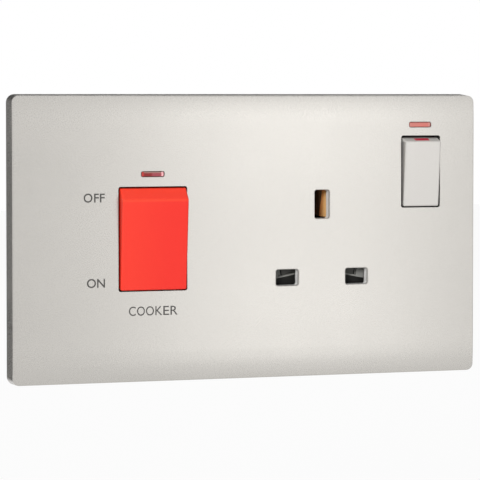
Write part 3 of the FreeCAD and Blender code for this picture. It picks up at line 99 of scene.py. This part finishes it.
class Finish:
    """A material with one Principled shader, and the one way to add nodes to it."""

    def __init__(self, name):
        self.material = bpy.data.materials.new(name)
        self.material.use_nodes = True
        self.tree = self.material.node_tree
        self.shader = next(n for n in self.tree.nodes if n.type == "BSDF_PRINCIPLED")

    def feed(self, socket, value):
        """Link a value to a socket, or set the socket; a colour's alpha is 1."""
        if isinstance(value, Value):
            self.tree.links.new(value.socket, socket)
        elif socket.type == "RGBA":
            socket.default_value = (*value, 1.0)
        else:
            socket.default_value = value

    def node(self, kind, settings, values, output=0):
        """Add a node: its settings first, then the values or links of its sockets."""
        made = self.tree.nodes.new(kind)
        for key, setting in settings.items():
            setattr(made, key, setting)
        for key, value in values.items():
            self.feed(made.inputs[key], value)
        return Value(self, made.outputs[output])

    def coords(self):
        return self.node("ShaderNodeTexCoord", {}, {}, "Object")

    def along(self, axis, at=0.0):
        """Distance along one axis from a point on it, in metres."""
        return self.node("ShaderNodeSeparateXYZ", {}, {0: self.coords()}, axis) - at

    def noise(self, scale, detail=2.0, stretch=(1, 1, 1)):
        """Noise from 0 to 1, with this many grains to a metre, on stretched coordinates."""
        settings = {"operation": "MULTIPLY"}
        place = self.node("ShaderNodeVectorMath", settings, {0: self.coords(), 1: stretch})
        values = {"Vector": place, "Scale": scale, "Detail": detail}
        return self.node("ShaderNodeTexNoise", {}, values, "Fac")

    def blend(self, share, first, second):
        """A colour between two colours."""
        values = {0: share, 6: first, 7: second}
        return self.node("ShaderNodeMix", {"data_type": "RGBA"}, values, 2)

    def bump(self, height, strength, depth):
        values = {"Height": height, "Strength": strength, "Distance": depth}
        return self.node("ShaderNodeBump", {}, values, "Normal")

    def shade(self, **values):
        """Set the shader's sockets, whose names are written with _ for a space."""
        for key, value in values.items():
            self.feed(self.shader.inputs[key.replace("_", " ")], value)


FINE = 3.0  # detail of a fine grain
BROAD_CLOUDS = 60.0
GRAIN_TINT, CLOUD_TINT = 0.55, 0.25  # how far grain and clouds move the plating's colour
GRAIN_GLOSS, CLOUD_GLOSS = 0.16, 0.05  # and how far they move its roughness
PLATING_END = (0.10 * MM, 0.25 * MM)  # depth in a hole over which the plating ends
# The grey band near the face of each hole is painted shade, standing for the dark reflection on the
# plated edge.
DARK_EDGE_END = (1.0 * MM, 1.4 * MM)  # depth in a hole over which grey gives way to pale
DARK_EDGE_GREY, PALE_WALL = (0.50, 0.485, 0.46), (0.90, 0.89, 0.87)
THIN_SIDE, THIN_TOP = 0.25, 0.75  # share of the plating that is missing past a face
EDGE = 0.1 * MM


def plated(name, light, dark, roughness, grain_size, grain_depth, metallic, bare=None, face=None):
    """Satin plating: fine grain that varies colour and gloss a little, over faint broad clouds.

    Where a box is given, the walls of the holes inside it are bare moulding, pale behind, with a
    grey band near the face that is a painted dark reflection of the plated edge. Where a face is
    given, as a middle and half width in X and a top in Z, the plating is thin past its edges.
    """
    f = Finish(name)
    grain = f.noise(1 / grain_size, FINE)
    clouds = f.noise(BROAD_CLOUDS)
    colour = f.blend(grain.sway(GRAIN_TINT) + clouds.sway(CLOUD_TINT) + 0.5, dark, light)
    if bare:
        half_wide, half_tall, front = bare
        depth = f.along("Y", front)
        across = (half_wide - f.along("X").size()).step(0.0, MM)
        upright = (half_tall - f.along("Z").size()).step(0.0, MM)
        inside = across * upright * depth.step(*PLATING_END)
        # Painted dark reflection: grey near the face, pale behind.
        wall = f.blend(depth.step(*DARK_EDGE_END), DARK_EDGE_GREY, PALE_WALL)
        colour = f.blend(inside, colour, wall)
        metallic = (1 - inside) * metallic
    if face:
        middle, half, top = face
        side = f.along("X", middle).size().step(half - EDGE, half) * THIN_SIDE
        over = f.along("Z", top).step(-EDGE, EDGE) * THIN_TOP
        metallic = (1 - side.work("MAXIMUM", over)) * metallic
    f.shade(Base_Color=colour, Metallic=metallic,
            Roughness=grain.sway(GRAIN_GLOSS) + clouds.sway(CLOUD_GLOSS) + roughness,
            Normal=f.bump(grain, 0.12, grain_depth))
    return f.material


BROAD_DRIFT = 45.0
DRIFT_TINT, ETCH_TINT, ETCH_GLOSS = 0.9, 0.3, 0.2


def moulded(name, colour, roughness, grain_size, grain_depth):
    """Moulded plastic: spark-etched grain, and colour that drifts slightly across the piece."""
    f = Finish(name)
    grain = f.noise(1 / grain_size, FINE)
    drift = f.noise(BROAD_DRIFT)
    paler = tuple(min(1.0, c * 1.10 + 0.004) for c in colour)
    deeper = tuple(c * 0.90 for c in colour)
    share = drift.sway(DRIFT_TINT) + grain.sway(ETCH_TINT) + 0.5
    f.shade(Base_Color=f.blend(share, deeper, paler),
            Roughness=grain.sway(ETCH_GLOSS) + roughness, Normal=f.bump(grain, 0.2, grain_depth))
    return f.material


# The paler crest line and the paler left side are painted highlights, and the lighter facet is
# painted light.
CREST_SPREAD = (0.1 * MM, 0.8 * MM)  # height from the crest over which its paler line fades
FACET_FOOT, FACET_HEAD = (0.1 * MM, 0.5 * MM), (1.5 * MM, 3.4 * MM)
FOOT_SHARE, HEAD_SHARE = 0.7, 0.3
LEFT_START, LEFT_END, LEFT_SHARE = 2.0 * MM, 0.8, 0.45  # where the paler left side fades


def red_with_painted_light(name, node, colour, highlight, lit_facet, crest):
    """Red moulding: fine grain, painted highlights paler to the left and along the crest, and
    painted light on the facet above it.
    """
    f = Finish(name)
    low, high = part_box(node)
    grain = f.noise(2800.0, FINE)
    left_highlight = 1 - f.along("X", low.x).step(LEFT_START, LEFT_END * (high.x - low.x))
    over = f.along("Z", crest)
    crest_highlight = 1 - over.size().step(*CREST_SPREAD)
    share = left_highlight * LEFT_SHARE + grain.sway(ETCH_TINT) + crest_highlight
    facet_light = over.step(*FACET_FOOT) * FOOT_SHARE + over.step(*FACET_HEAD) * HEAD_SHARE
    f.shade(Base_Color=f.blend(facet_light, f.blend(share, colour, highlight), lit_facet),
            Roughness=grain.sway(ETCH_GLOSS) + 0.40, Specular_IOR_Level=0.35,
            Normal=f.bump(grain, 0.2, 6e-6))
    return f.material


ROLLING_LINES, LINE_STRETCH = 900.0, (4, 4, 0.25)
DULL_PATCHES, PATCH_EDGE = 180.0, (0.35, 0.7)


def pressed_metal(name, light, dark, roughness):
    """Rolled and pressed strip: fine lines along Z and dull patches from handling."""
    f = Finish(name)
    lines = f.noise(ROLLING_LINES, FINE, LINE_STRETCH)
    patches = f.noise(DULL_PATCHES, FINE)
    f.shade(Base_Color=f.blend(patches.step(*PATCH_EDGE), light, dark), Metallic=1.0,
            Roughness=lines.sway(0.25) + patches.sway(0.2) + roughness,
            Normal=f.bump(lines, 0.15, 2e-5))
    return f.material


# Painted light on the shutter: near-black is painted shade below the ridge and painted shadow in
# the groove, the pocket grey is painted shade, the land grey is painted light and the crest grey is
# a painted highlight.
SHADE_BLACK, POCKET_SHADE_GREY = (0.014, 0.014, 0.013), (0.13, 0.13, 0.12)
LIT_LAND_GREY, CREST_HIGHLIGHT_GREY = (0.25, 0.25, 0.235), (0.27, 0.27, 0.25)
RIDGE_FRONT, RIDGE_BACK = (-0.12 * MM, 0.05 * MM), (0.3 * MM, 0.5 * MM)
SHADOW_LINE_OUTER, SHADOW_LINE_INNER = (-0.05 * MM, 0.05 * MM), (0.25 * MM, 0.45 * MM)
POCKET_HALF, POCKET_SHIFT, POCKET_LEAN = 11.8 * MM, 0.4 * MM, 0.195


def shutter_with_painted_light(name, level, middle, reach, slant):
    """Dark slide with a ridge along z = level + slant (reach - |x - middle|), painted shade in dull
    black below it, and a painted highlight along the ridge.

    Above the ridge is a pocket in painted shade inside a black groove of painted shadow, and past
    its leaning sides a land lighter with painted light.
    """
    f = Finish(name)
    over = f.along("Z") - ((reach - f.along("X", middle).size()) * slant + level)
    above = over.step(*RIDGE_FRONT)
    crest = above * (1 - over.step(*RIDGE_BACK))
    reach_here = f.along("Z", level) * POCKET_LEAN + POCKET_HALF
    within = reach_here - f.along("X", middle + POCKET_SHIFT).size()
    shaded_pocket = f.blend(within.step(*SHADOW_LINE_INNER), SHADE_BLACK, POCKET_SHADE_GREY)
    shaded_pocket = f.blend(crest, shaded_pocket, CREST_HIGHLIGHT_GREY)
    upper = f.blend(within.step(*SHADOW_LINE_OUTER), LIT_LAND_GREY, shaded_pocket)
    grain = f.noise(3300.0, FINE)
    f.shade(Base_Color=f.blend(above, SHADE_BLACK, upper), Roughness=grain.sway(0.15) + 0.5,
            Specular_IOR_Level=0.12, Normal=f.bump(grain, 0.1, 4e-6))
    return f.material


# Painted light on the lenses: the darker rim is painted shade, the top band and the two halves are
# painted reflections, and the end spots are painted glints.
LENS_HALF_WIDTH, LENS_HALF_HEIGHT = 3.57 * MM, 0.82 * MM
RIM_ACROSS, RIM_UPRIGHT = (0.05 * MM, 0.35 * MM), (0.05 * MM, 0.3 * MM)
HALVES_MEET, BAND_START = (-0.6 * MM, 0.1 * MM), (0.15 * MM, 0.5 * MM)
GLINT_PLACES, GLINT_SPREAD = (-3.05 * MM, 3.0 * MM), (0.15 * MM, 0.5 * MM)


def lens_with_painted_light(name, node, left, right, shaded_rim, band, glints):
    """Red lens with painted light: two halves that differ by painted reflection under a painted
    reflection band at the top, inside a rim of painted shade, with a painted glint at each end.
    """
    f = Finish(name)
    low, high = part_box(node)
    mid = (low + high) / 2
    across, rise = f.along("X", mid.x), f.along("Z", mid.z)
    inside = ((LENS_HALF_WIDTH - across.size()).step(*RIM_ACROSS)
              * (LENS_HALF_HEIGHT - rise.size()).step(*RIM_UPRIGHT))
    colour = f.blend(across.step(*HALVES_MEET), left, right)
    colour = f.blend(rise.step(*BAND_START), colour, band)
    for place, glint in zip(GLINT_PLACES, glints):
        away = (across - place).size().step(*GLINT_SPREAD)
        colour = f.blend(away, glint, colour)
    f.shade(Base_Color=f.blend(inside, shaded_rim, colour), Roughness=f.noise(2500.0) * 0.06 + 0.16,
            Specular_IOR_Level=0.3)
    return f.material


# The clip's colours are painted light: lit at the lip, painted shade deeper in, and a painted
# shadow past a slanting edge.
SHADOW_DEPTH, SHADOW_LEAN = 0.34 * MM, 0.24
LIT_LIP_END, SHADOW_EDGE = (-2.5 * MM, -0.3 * MM), (-0.25 * MM, 0.25 * MM)


def brass_with_painted_shadow(name, node, lit_brass, shaded_brass, shadow_brass):
    """Brass clip with painted light: painted light at the lip that the pin enters, warmer and
    darker behind as painted shade, and a painted shadow past a slant.
    """
    f = Finish(name)
    low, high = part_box(node)
    level = f.along("Z", (low.z + high.z) / 2)
    behind = f.along("Y", SHADOW_DEPTH) + level * SHADOW_LEAN
    patches = f.noise(DULL_PATCHES, FINE)
    lit_to_shaded = f.blend(behind.step(*LIT_LIP_END), lit_brass, shaded_brass)
    in_shadow = behind.step(*SHADOW_EDGE)
    f.shade(Base_Color=f.blend(in_shadow, lit_to_shaded, shadow_brass), Metallic=0.15,
            Roughness=patches.sway(0.2) + 0.4, Specular_IOR_Level=0.3)
    return f.material


CLEAR_GLASS, ORANGE_GLASS = (0.95, 0.86, 0.80), (0.98, 0.72, 0.58)


def lamp_glass(name):
    """Clear glass envelope with an uneven orange tint."""
    f = Finish(name)
    tint = f.noise(300.0)
    f.shade(Base_Color=f.blend(tint, CLEAR_GLASS, ORANGE_GLASS),
            Roughness=tint * 0.05 + 0.03, Transmission_Weight=0.7, IOR=1.48)
    return f.material


BAND_INNER, BAND_OUTER = 0.05, 0.06  # a band's half width, in shares of the body's length


def resistor_finish(name, node, body, bands):
    """Resistor body with painted bands, each a colour at a share of its length."""
    f = Finish(name)
    low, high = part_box(node)
    length = high.z - low.z
    colour = body
    for share, band in bands:
        away = f.along("Z", low.z + share * length).size()
        colour = f.blend(1 - away.step(BAND_INNER * length, BAND_OUTER * length), colour, band)
    f.shade(Base_Color=colour, Roughness=f.noise(1500.0) * 0.15 + 0.35)
    return f.material


def ink(name, colour):
    """Printed ink with tiny darker specks."""
    f = Finish(name)
    wear = f.noise(2600.0, FINE)
    darker = tuple(c * 0.8 for c in colour)
    f.shade(Base_Color=f.blend(wear, darker, colour), Roughness=wear * 0.2 + 0.5,
            Specular_IOR_Level=0.3)
    return f.material


def dress(material, *names):
    """Give CAD nodes their finish."""
    for name in names:
        slots = nodes[name].data.materials
        slots.clear()
        slots.append(material)


# Front: cover plate, rockers, lenses, shutter and earth clip

NICKEL_LIGHT, NICKEL_DARK = (0.585, 0.565, 0.532), (0.495, 0.478, 0.450)
PLATE_INSIDE = (66 * MM, 37 * MM, FACE)
dress(plated("satin_nickel", NICKEL_LIGHT, NICKEL_DARK, roughness=0.28, grain_size=0.22 * MM,
             grain_depth=1.2e-5, metallic=1.0, bare=PLATE_INSIDE), "cover_plate")

SILVER_LIGHT, SILVER_DARK = (0.650, 0.628, 0.598), (0.588, 0.568, 0.540)
SILVER_FACE = (55.0 * MM, 5.3 * MM, 28.5 * MM)
dress(plated("silvered_moulding", SILVER_LIGHT, SILVER_DARK, roughness=0.34, grain_size=0.30 * MM,
             grain_depth=6e-6, metallic=0.82, face=SILVER_FACE), "socket_rocker")

# The paler red is for painted highlights, also moved by grain; the facet red is painted light.
RED, HIGHLIGHT_RED, LIT_FACET_RED = (0.86, 0.029, 0.018), (0.92, 0.055, 0.026), (1.0, 0.052, 0.023)
RED_CREST = 11.8 * MM
dress(red_with_painted_light("red_urea", "cooker_rocker", RED, HIGHLIGHT_RED, LIT_FACET_RED, RED_CREST),
      "cooker_rocker")
dress(moulded("flag_red", (0.62, 0.012, 0.05), 0.35, 0.35 * MM, 4e-6), "socket_on_flag")

# The cooker lens colours are painted reflections, painted shade at the rim and painted glints at
# its ends.
dress(lens_with_painted_light("cooker_lens_painted_light", "cooker_neon_lens",
                  left=(0.24, 0.018, 0.018), right=(0.33, 0.058, 0.075),
                  shaded_rim=(0.105, 0.045, 0.035), band=(0.34, 0.18, 0.155),
                  glints=((0.50, 0.043, 0.038), (0.84, 0.43, 0.45))), "cooker_neon_lens")
# The socket lens is brighter as a painted glow of its lit neon, with the same painted rim, band and
# glints.
dress(lens_with_painted_light("socket_lens_painted_glow", "socket_neon_lens",
                  left=(0.63, 0.208, 0.174), right=(0.66, 0.192, 0.163),
                  shaded_rim=(0.17, 0.055, 0.045), band=(0.55, 0.18, 0.155),
                  glints=((0.62, 0.22, 0.19), (0.60, 0.25, 0.22))), "socket_neon_lens")

RIDGE_LEVEL, SOCKET_MIDDLE, PIN_REACH = -12.75 * MM, 23.0 * MM, 11.115 * MM
RIDGE_SLANT = math.tan(math.radians(11.0))
# The shutter's colours are painted shade, painted light and a painted highlight along the ridge.
dress(shutter_with_painted_light("shutter_painted_shade", RIDGE_LEVEL, SOCKET_MIDDLE, PIN_REACH, RIDGE_SLANT),
      "shutter")

# Lit, shaded and shadow brass: painted light and painted shadow on the earth clip.
LIT_BRASS, SHADED_BRASS, BRASS_SHADOW = (1.0, 0.58, 0.23), (1.0, 0.46, 0.15), (0.26, 0.17, 0.11)
dress(brass_with_painted_shadow("brass_with_painted_shadow", "earth_contact", LIT_BRASS, SHADED_BRASS, BRASS_SHADOW),
      "earth_contact")


# Behind the plate: mouldings, strips, contacts, screws, springs and lamps

dress(moulded("frame_graphite", (0.12, 0.12, 0.118), 0.55, 0.4 * MM, 1e-5), "support_frame")
dress(moulded("housing_charcoal", (0.055, 0.055, 0.056), 0.55, 0.5 * MM, 1.5e-5), "rear_housing")
dress(moulded("plunger_acetal", (0.78, 0.76, 0.70), 0.42, 0.4 * MM, 5e-6),
      "cooker_plunger_line", "cooker_plunger_neutral", "socket_plunger")
dress(pressed_metal("pressed_brass", (0.93, 0.60, 0.25), (0.80, 0.48, 0.18), 0.34),
      "live_contact", "neutral_contact", "switch_feed_strip", "switch_outlet_strip",
      "supply_line_terminal", "supply_neutral_terminal", "load_line_terminal",
      "load_neutral_terminal", "earth_terminal")
dress(pressed_metal("pressed_copper", (0.86, 0.46, 0.30), (0.66, 0.32, 0.20), 0.32),
      "live_link", "neutral_link", "earth_link", "cooker_arm_line", "cooker_arm_neutral",
      "socket_arm")
dress(pressed_metal("contact_silver", (0.86, 0.86, 0.84), (0.62, 0.61, 0.58), 0.25),
      "cooker_fixed_contacts", "cooker_moving_contact_line", "cooker_moving_contact_neutral",
      "socket_fixed_contact", "socket_moving_contact")
dress(pressed_metal("zinc_plate", (0.72, 0.72, 0.70), (0.54, 0.53, 0.50), 0.33),
      "housing_screws", "terminal_screws", "earth_screws", "cooker_neon_leads",
      "socket_neon_leads")
SPRING_WIRE = pressed_metal("spring_wire", (0.60, 0.60, 0.60), (0.42, 0.42, 0.42), 0.30)
dress(SPRING_WIRE, "cooker_plunger_spring_line", "cooker_plunger_spring_neutral",
      "socket_plunger_spring")
dress(lamp_glass("lamp_glass"), "cooker_neon_lamp", "socket_neon_lamp")
RESISTOR_TAN = (0.62, 0.47, 0.29)
BANDS = ((0.2, (0.30, 0.05, 0.03)), (0.4, (0.50, 0.12, 0.02)),
         (0.6, (0.75, 0.55, 0.05)), (0.85, (0.60, 0.42, 0.12)))
for owner in ("cooker", "socket"):
    resistor = owner + "_neon_resistor"
    dress(resistor_finish(owner + "_resistor", resistor, RESISTOR_TAN, BANDS), resistor)


# Printed words

INK_LAYER = 0.02 * MM
ANY_THICKNESS = 0.01  # of the outline, before it is stretched to the ink layer


def printed_word(name, word, bold, sides, levels, typeface, wanted, material):
    """Letters on the plate's face: outlines stretched to sides in X and levels in Z.

    They are one ink layer thick in Y. Their sides move, as shares of the word's width, from the
    places that the typeface gives them to the wanted ones, and evenly in between.
    """
    letters = bpy.data.curves.new(name + "_outline", "FONT")
    letters.body = word
    letters.offset = bold
    letters.extrude = ANY_THICKNESS
    holder = bpy.data.objects.new(name + "_outline", letters)
    bpy.context.scene.collection.objects.link(holder)
    solid = holder.evaluated_get(bpy.context.evaluated_depsgraph_get())
    shape = bpy.data.meshes.new_from_object(solid)
    bpy.data.objects.remove(holder)
    shape.name = name
    flat = np.zeros(len(shape.vertices) * 3)
    shape.vertices.foreach_get("co", flat)
    points = flat.reshape(-1, 3)
    low, high = points.min(0), points.max(0)
    share = (points - low) / (high - low)
    (left, right), (bottom, top) = sides, levels
    placed = np.stack([left + np.interp(share[:, 0], typeface, wanted) * (right - left),
                       FACE - share[:, 2] * INK_LAYER,
                       bottom + share[:, 1] * (top - bottom)], axis=1)
    shape.vertices.foreach_set("co", placed.ravel())
    shape.update()
    shape.materials.clear()
    shape.materials.append(material)
    piece = bpy.data.objects.new(name, shape)
    bpy.context.scene.collection.objects.link(piece)
    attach(piece, "base")


GREY_INK = ink("grey_ink", (0.085, 0.082, 0.078))
printed_word("off_mark", "OFF", 0.012, (-51.29 * MM, -44.90 * MM), (11.10 * MM, 13.80 * MM),
             (0, 0.438, 0.478, 0.707, 0.754, 1),
             (0, 0.412, 0.475, 0.700, 0.752, 1), GREY_INK)
printed_word("on_mark", "ON", 0.012, (-50.36 * MM, -44.87 * MM), (-14.30 * MM, -11.60 * MM),
             (0, 1), (0, 1), GREY_INK)
printed_word("cooker_mark", "COOKER", 0.002, (-37.57 * MM, -22.60 * MM), (-22.95 * MM, -20.17 * MM),
             (0, 0.164, 0.178, 0.359, 0.383, 0.564, 0.586, 0.721, 0.747, 0.848, 0.871, 1),
             (0, 0.150, 0.170, 0.330, 0.356, 0.519, 0.543, 0.675, 0.706, 0.829, 0.855, 1), GREY_INK)


# Shutter spring, which shortens as the shutter slides up


TURN_STEPS, RING_POINTS = 36, 12


def coil_spring(name, centre, radius, wire, bottom, top, turns, material):
    """Round wire carried along a helix about Z: rings square to the path, its ends closed.

    path(t) = centre + radius (cos t, sin t), with a steady climb from bottom to top; a ring's
    points are at path + wire (cos a outward + sin a upward).
    """
    turned = 2 * np.pi * turns * np.linspace(0, 1, TURN_STEPS * turns + 1)[:, None]
    around = np.linspace(0, 2 * np.pi, RING_POINTS, endpoint=False)[None, :, None]
    level = np.zeros_like(turned)
    outward = np.concatenate([np.cos(turned), np.sin(turned), level], axis=1)
    climb = (top - bottom) / (2 * np.pi * turns)
    forward = np.concatenate([-radius * np.sin(turned), radius * np.cos(turned), level + climb],
                             axis=1)
    upward = np.cross(outward, forward / math.hypot(radius, climb))
    rise = np.concatenate([level, level, climb * turned], axis=1)
    path = np.array([*centre, bottom]) + radius * outward + rise
    ring = np.cos(around) * outward[:, None] + np.sin(around) * upward[:, None]
    points = path[:, None] + wire * ring
    rings, sides = points.shape[:2]
    first = np.arange((rings - 1) * sides).reshape(rings - 1, sides)
    second = np.roll(first, -1, axis=1)
    quads = np.stack([first, first + sides, second + sides, second], axis=-1).reshape(-1, 4)
    start = list(range(sides))
    end = list(range(rings * sides - 1, (rings - 1) * sides - 1, -1))
    shape = bpy.data.meshes.new(name)
    shape.from_pydata(points.reshape(-1, 3).tolist(), [], quads.tolist() + [start, end])
    shape.shade_smooth()
    shape.materials.append(material)
    piece = bpy.data.objects.new(name, shape)
    bpy.context.scene.collection.objects.link(piece)
    return piece


SPRING_CENTRE = (23.0 * MM, -0.9 * MM)
spring = coil_spring("shutter_coil", SPRING_CENTRE, radius=1.3 * MM, wire=0.2 * MM,
                     bottom=-6.75 * MM, top=3.8 * MM, turns=6, material=SPRING_WIRE)
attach(spring, "base")
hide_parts("shutter_spring")
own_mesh(spring)


# Camera, fitted to the photograph

FRAME_PIXELS, SENSOR = 480, 36.0


def aim_camera(yaw, pitch, distance, focal, target, lift):
    """Camera that looks along yaw and pitch at a point; focal and lift are in frame pixels."""
    camera = bpy.data.objects.new("camera", bpy.data.cameras.new("camera"))
    bpy.context.scene.collection.objects.link(camera)
    yaw, pitch = math.radians(yaw), math.radians(pitch)
    look = Vector((math.sin(yaw) * math.cos(pitch), math.cos(yaw) * math.cos(pitch),
                   -math.sin(pitch)))
    camera.location = Vector(target) - distance * look
    camera.rotation_mode = "QUATERNION"
    camera.rotation_quaternion = look.to_track_quat("-Z", "Y")
    camera.data.sensor_width = SENSOR
    camera.data.lens = focal / FRAME_PIXELS * SENSOR
    camera.data.shift_y = lift / FRAME_PIXELS
    camera.data.clip_start, camera.data.clip_end = 0.01, 50.0
    bpy.context.scene.camera = camera


aim_camera(yaw=15.854, pitch=1.886, distance=0.66925, focal=2212.6,
           target=(-0.002962, -0.0072, 0.020967), lift=-72.0)


# Studio: white surround, pale floor, soft lights in front and behind, a dark card behind

WHITE = (1, 1, 1, 1)
OTHER_WHITE_RAYS = ("Is Glossy Ray", "Is Transmission Ray")
FLOOR_REACH, FLOOR_PAINT = 3, (0.86, 0.86, 0.86)


def surround(ambient):
    """White for what the camera, gloss and glass see; a plain level for the light on the object."""
    world = bpy.data.worlds.new("surround")
    bpy.context.scene.world = world
    world.use_nodes = True
    tree = world.node_tree
    path = tree.nodes.new("ShaderNodeLightPath")
    seen = path.outputs["Is Camera Ray"]
    for other in OTHER_WHITE_RAYS:
        joined = tree.nodes.new("ShaderNodeMath")
        joined.operation = "MAXIMUM"
        tree.links.new(seen, joined.inputs[0])
        tree.links.new(path.outputs[other], joined.inputs[1])
        seen = joined.outputs[0]
    lit = tree.nodes["Background"]
    lit.inputs["Color"].default_value = WHITE
    lit.inputs["Strength"].default_value = ambient
    white = tree.nodes.new("ShaderNodeBackground")
    white.inputs["Color"].default_value = WHITE
    mixed = tree.nodes.new("ShaderNodeMixShader")
    tree.links.new(seen, mixed.inputs[0])
    tree.links.new(lit.outputs[0], mixed.inputs[1])
    tree.links.new(white.outputs[0], mixed.inputs[2])
    tree.links.new(mixed.outputs[0], tree.nodes["World Output"].inputs["Surface"])


def board(name, centre, right, up):
    """A flat rectangle: centre + u right + v up, for u and v of -1 and 1."""
    u, v = np.meshgrid([-1.0, 1.0], [-1.0, 1.0])
    points = np.array(centre) + u[..., None] * np.array(right) + v[..., None] * np.array(up)
    shape = bpy.data.meshes.new(name)
    shape.from_pydata(points.reshape(-1, 3).tolist(), [], [(0, 1, 3, 2)])
    piece = bpy.data.objects.new(name, shape)
    bpy.context.scene.collection.objects.link(piece)
    return piece


def pale_floor(level, whiteness):
    """Pale floor that nearly meets the white surround and keeps the object's shadow."""
    floor = board("floor", (0, 0, level), (FLOOR_REACH, 0, 0), (0, FLOOR_REACH, 0))
    f = Finish("floor_paint")
    f.shade(Base_Color=FLOOR_PAINT, Roughness=0.9, Specular_IOR_Level=0.1)
    seen = f.node("ShaderNodeLightPath", {}, {}, "Is Camera Ray")
    for other in OTHER_WHITE_RAYS:
        seen = seen.work("MAXIMUM", f.node("ShaderNodeLightPath", {}, {}, other))
    white = f.tree.nodes.new("ShaderNodeEmission")
    mixed = f.tree.nodes.new("ShaderNodeMixShader")
    f.feed(mixed.inputs[0], seen * whiteness)
    f.tree.links.new(f.shader.outputs[0], mixed.inputs[1])
    f.tree.links.new(white.outputs[0], mixed.inputs[2])
    end = next(n for n in f.tree.nodes if n.type == "OUTPUT_MATERIAL")
    f.tree.links.new(mixed.outputs[0], end.inputs["Surface"])
    floor.data.materials.append(f.material)


def softbox(name, place, target, width, height, watts, glossy=True):
    """A rectangular lamp turned to a point, which gloss may be kept from showing."""
    light = bpy.data.lights.new(name, "AREA")
    light.shape = "RECTANGLE"
    light.size, light.size_y = width, height
    light.energy = watts
    lamp = bpy.data.objects.new(name, light)
    lamp.location = place
    lamp.visible_glossy = glossy
    lamp.rotation_mode = "QUATERNION"
    lamp.rotation_quaternion = (Vector(target) - Vector(place)).to_track_quat("-Z", "Y")
    bpy.context.scene.collection.objects.link(lamp)


def dark_flag(name, centre, right, up):
    """A black card that only reflections see."""
    card = board(name, centre, right, up)
    f = Finish(name + "_black")
    f.shade(Base_Color=(0.0, 0.0, 0.0), Roughness=1.0, Specular_IOR_Level=0.0)
    card.data.materials.append(f.material)
    card.visible_camera = False
    card.visible_diffuse = False
    card.visible_transmission = False
    card.visible_shadow = False


MIDDLE, RIGHT_OF_MIDDLE = (0, 0, 0), (0.005, 0, 0)
surround(ambient=0.34)
pale_floor(level=-0.15, whiteness=0.94)
softbox("key", (0.18, -0.55, 0.060), RIGHT_OF_MIDDLE, 0.14, 0.13, watts=0.084)
softbox("low_key", (0.18, -0.55, -0.090), RIGHT_OF_MIDDLE, 0.14, 0.10, watts=0.056)
softbox("side", (-0.62, -0.95, 0.34), MIDDLE, 0.3, 0.3, watts=9.7, glossy=False)
softbox("rear", (0.3, 1.2, 0.7), MIDDLE, 0.9, 0.9, watts=3.0)
dark_flag("back_flag", (0.19, 0.45, -0.075), (0.475, 0, 0), (0, 0, 0.4))

bpy.context.scene.view_settings.view_transform = "Standard"
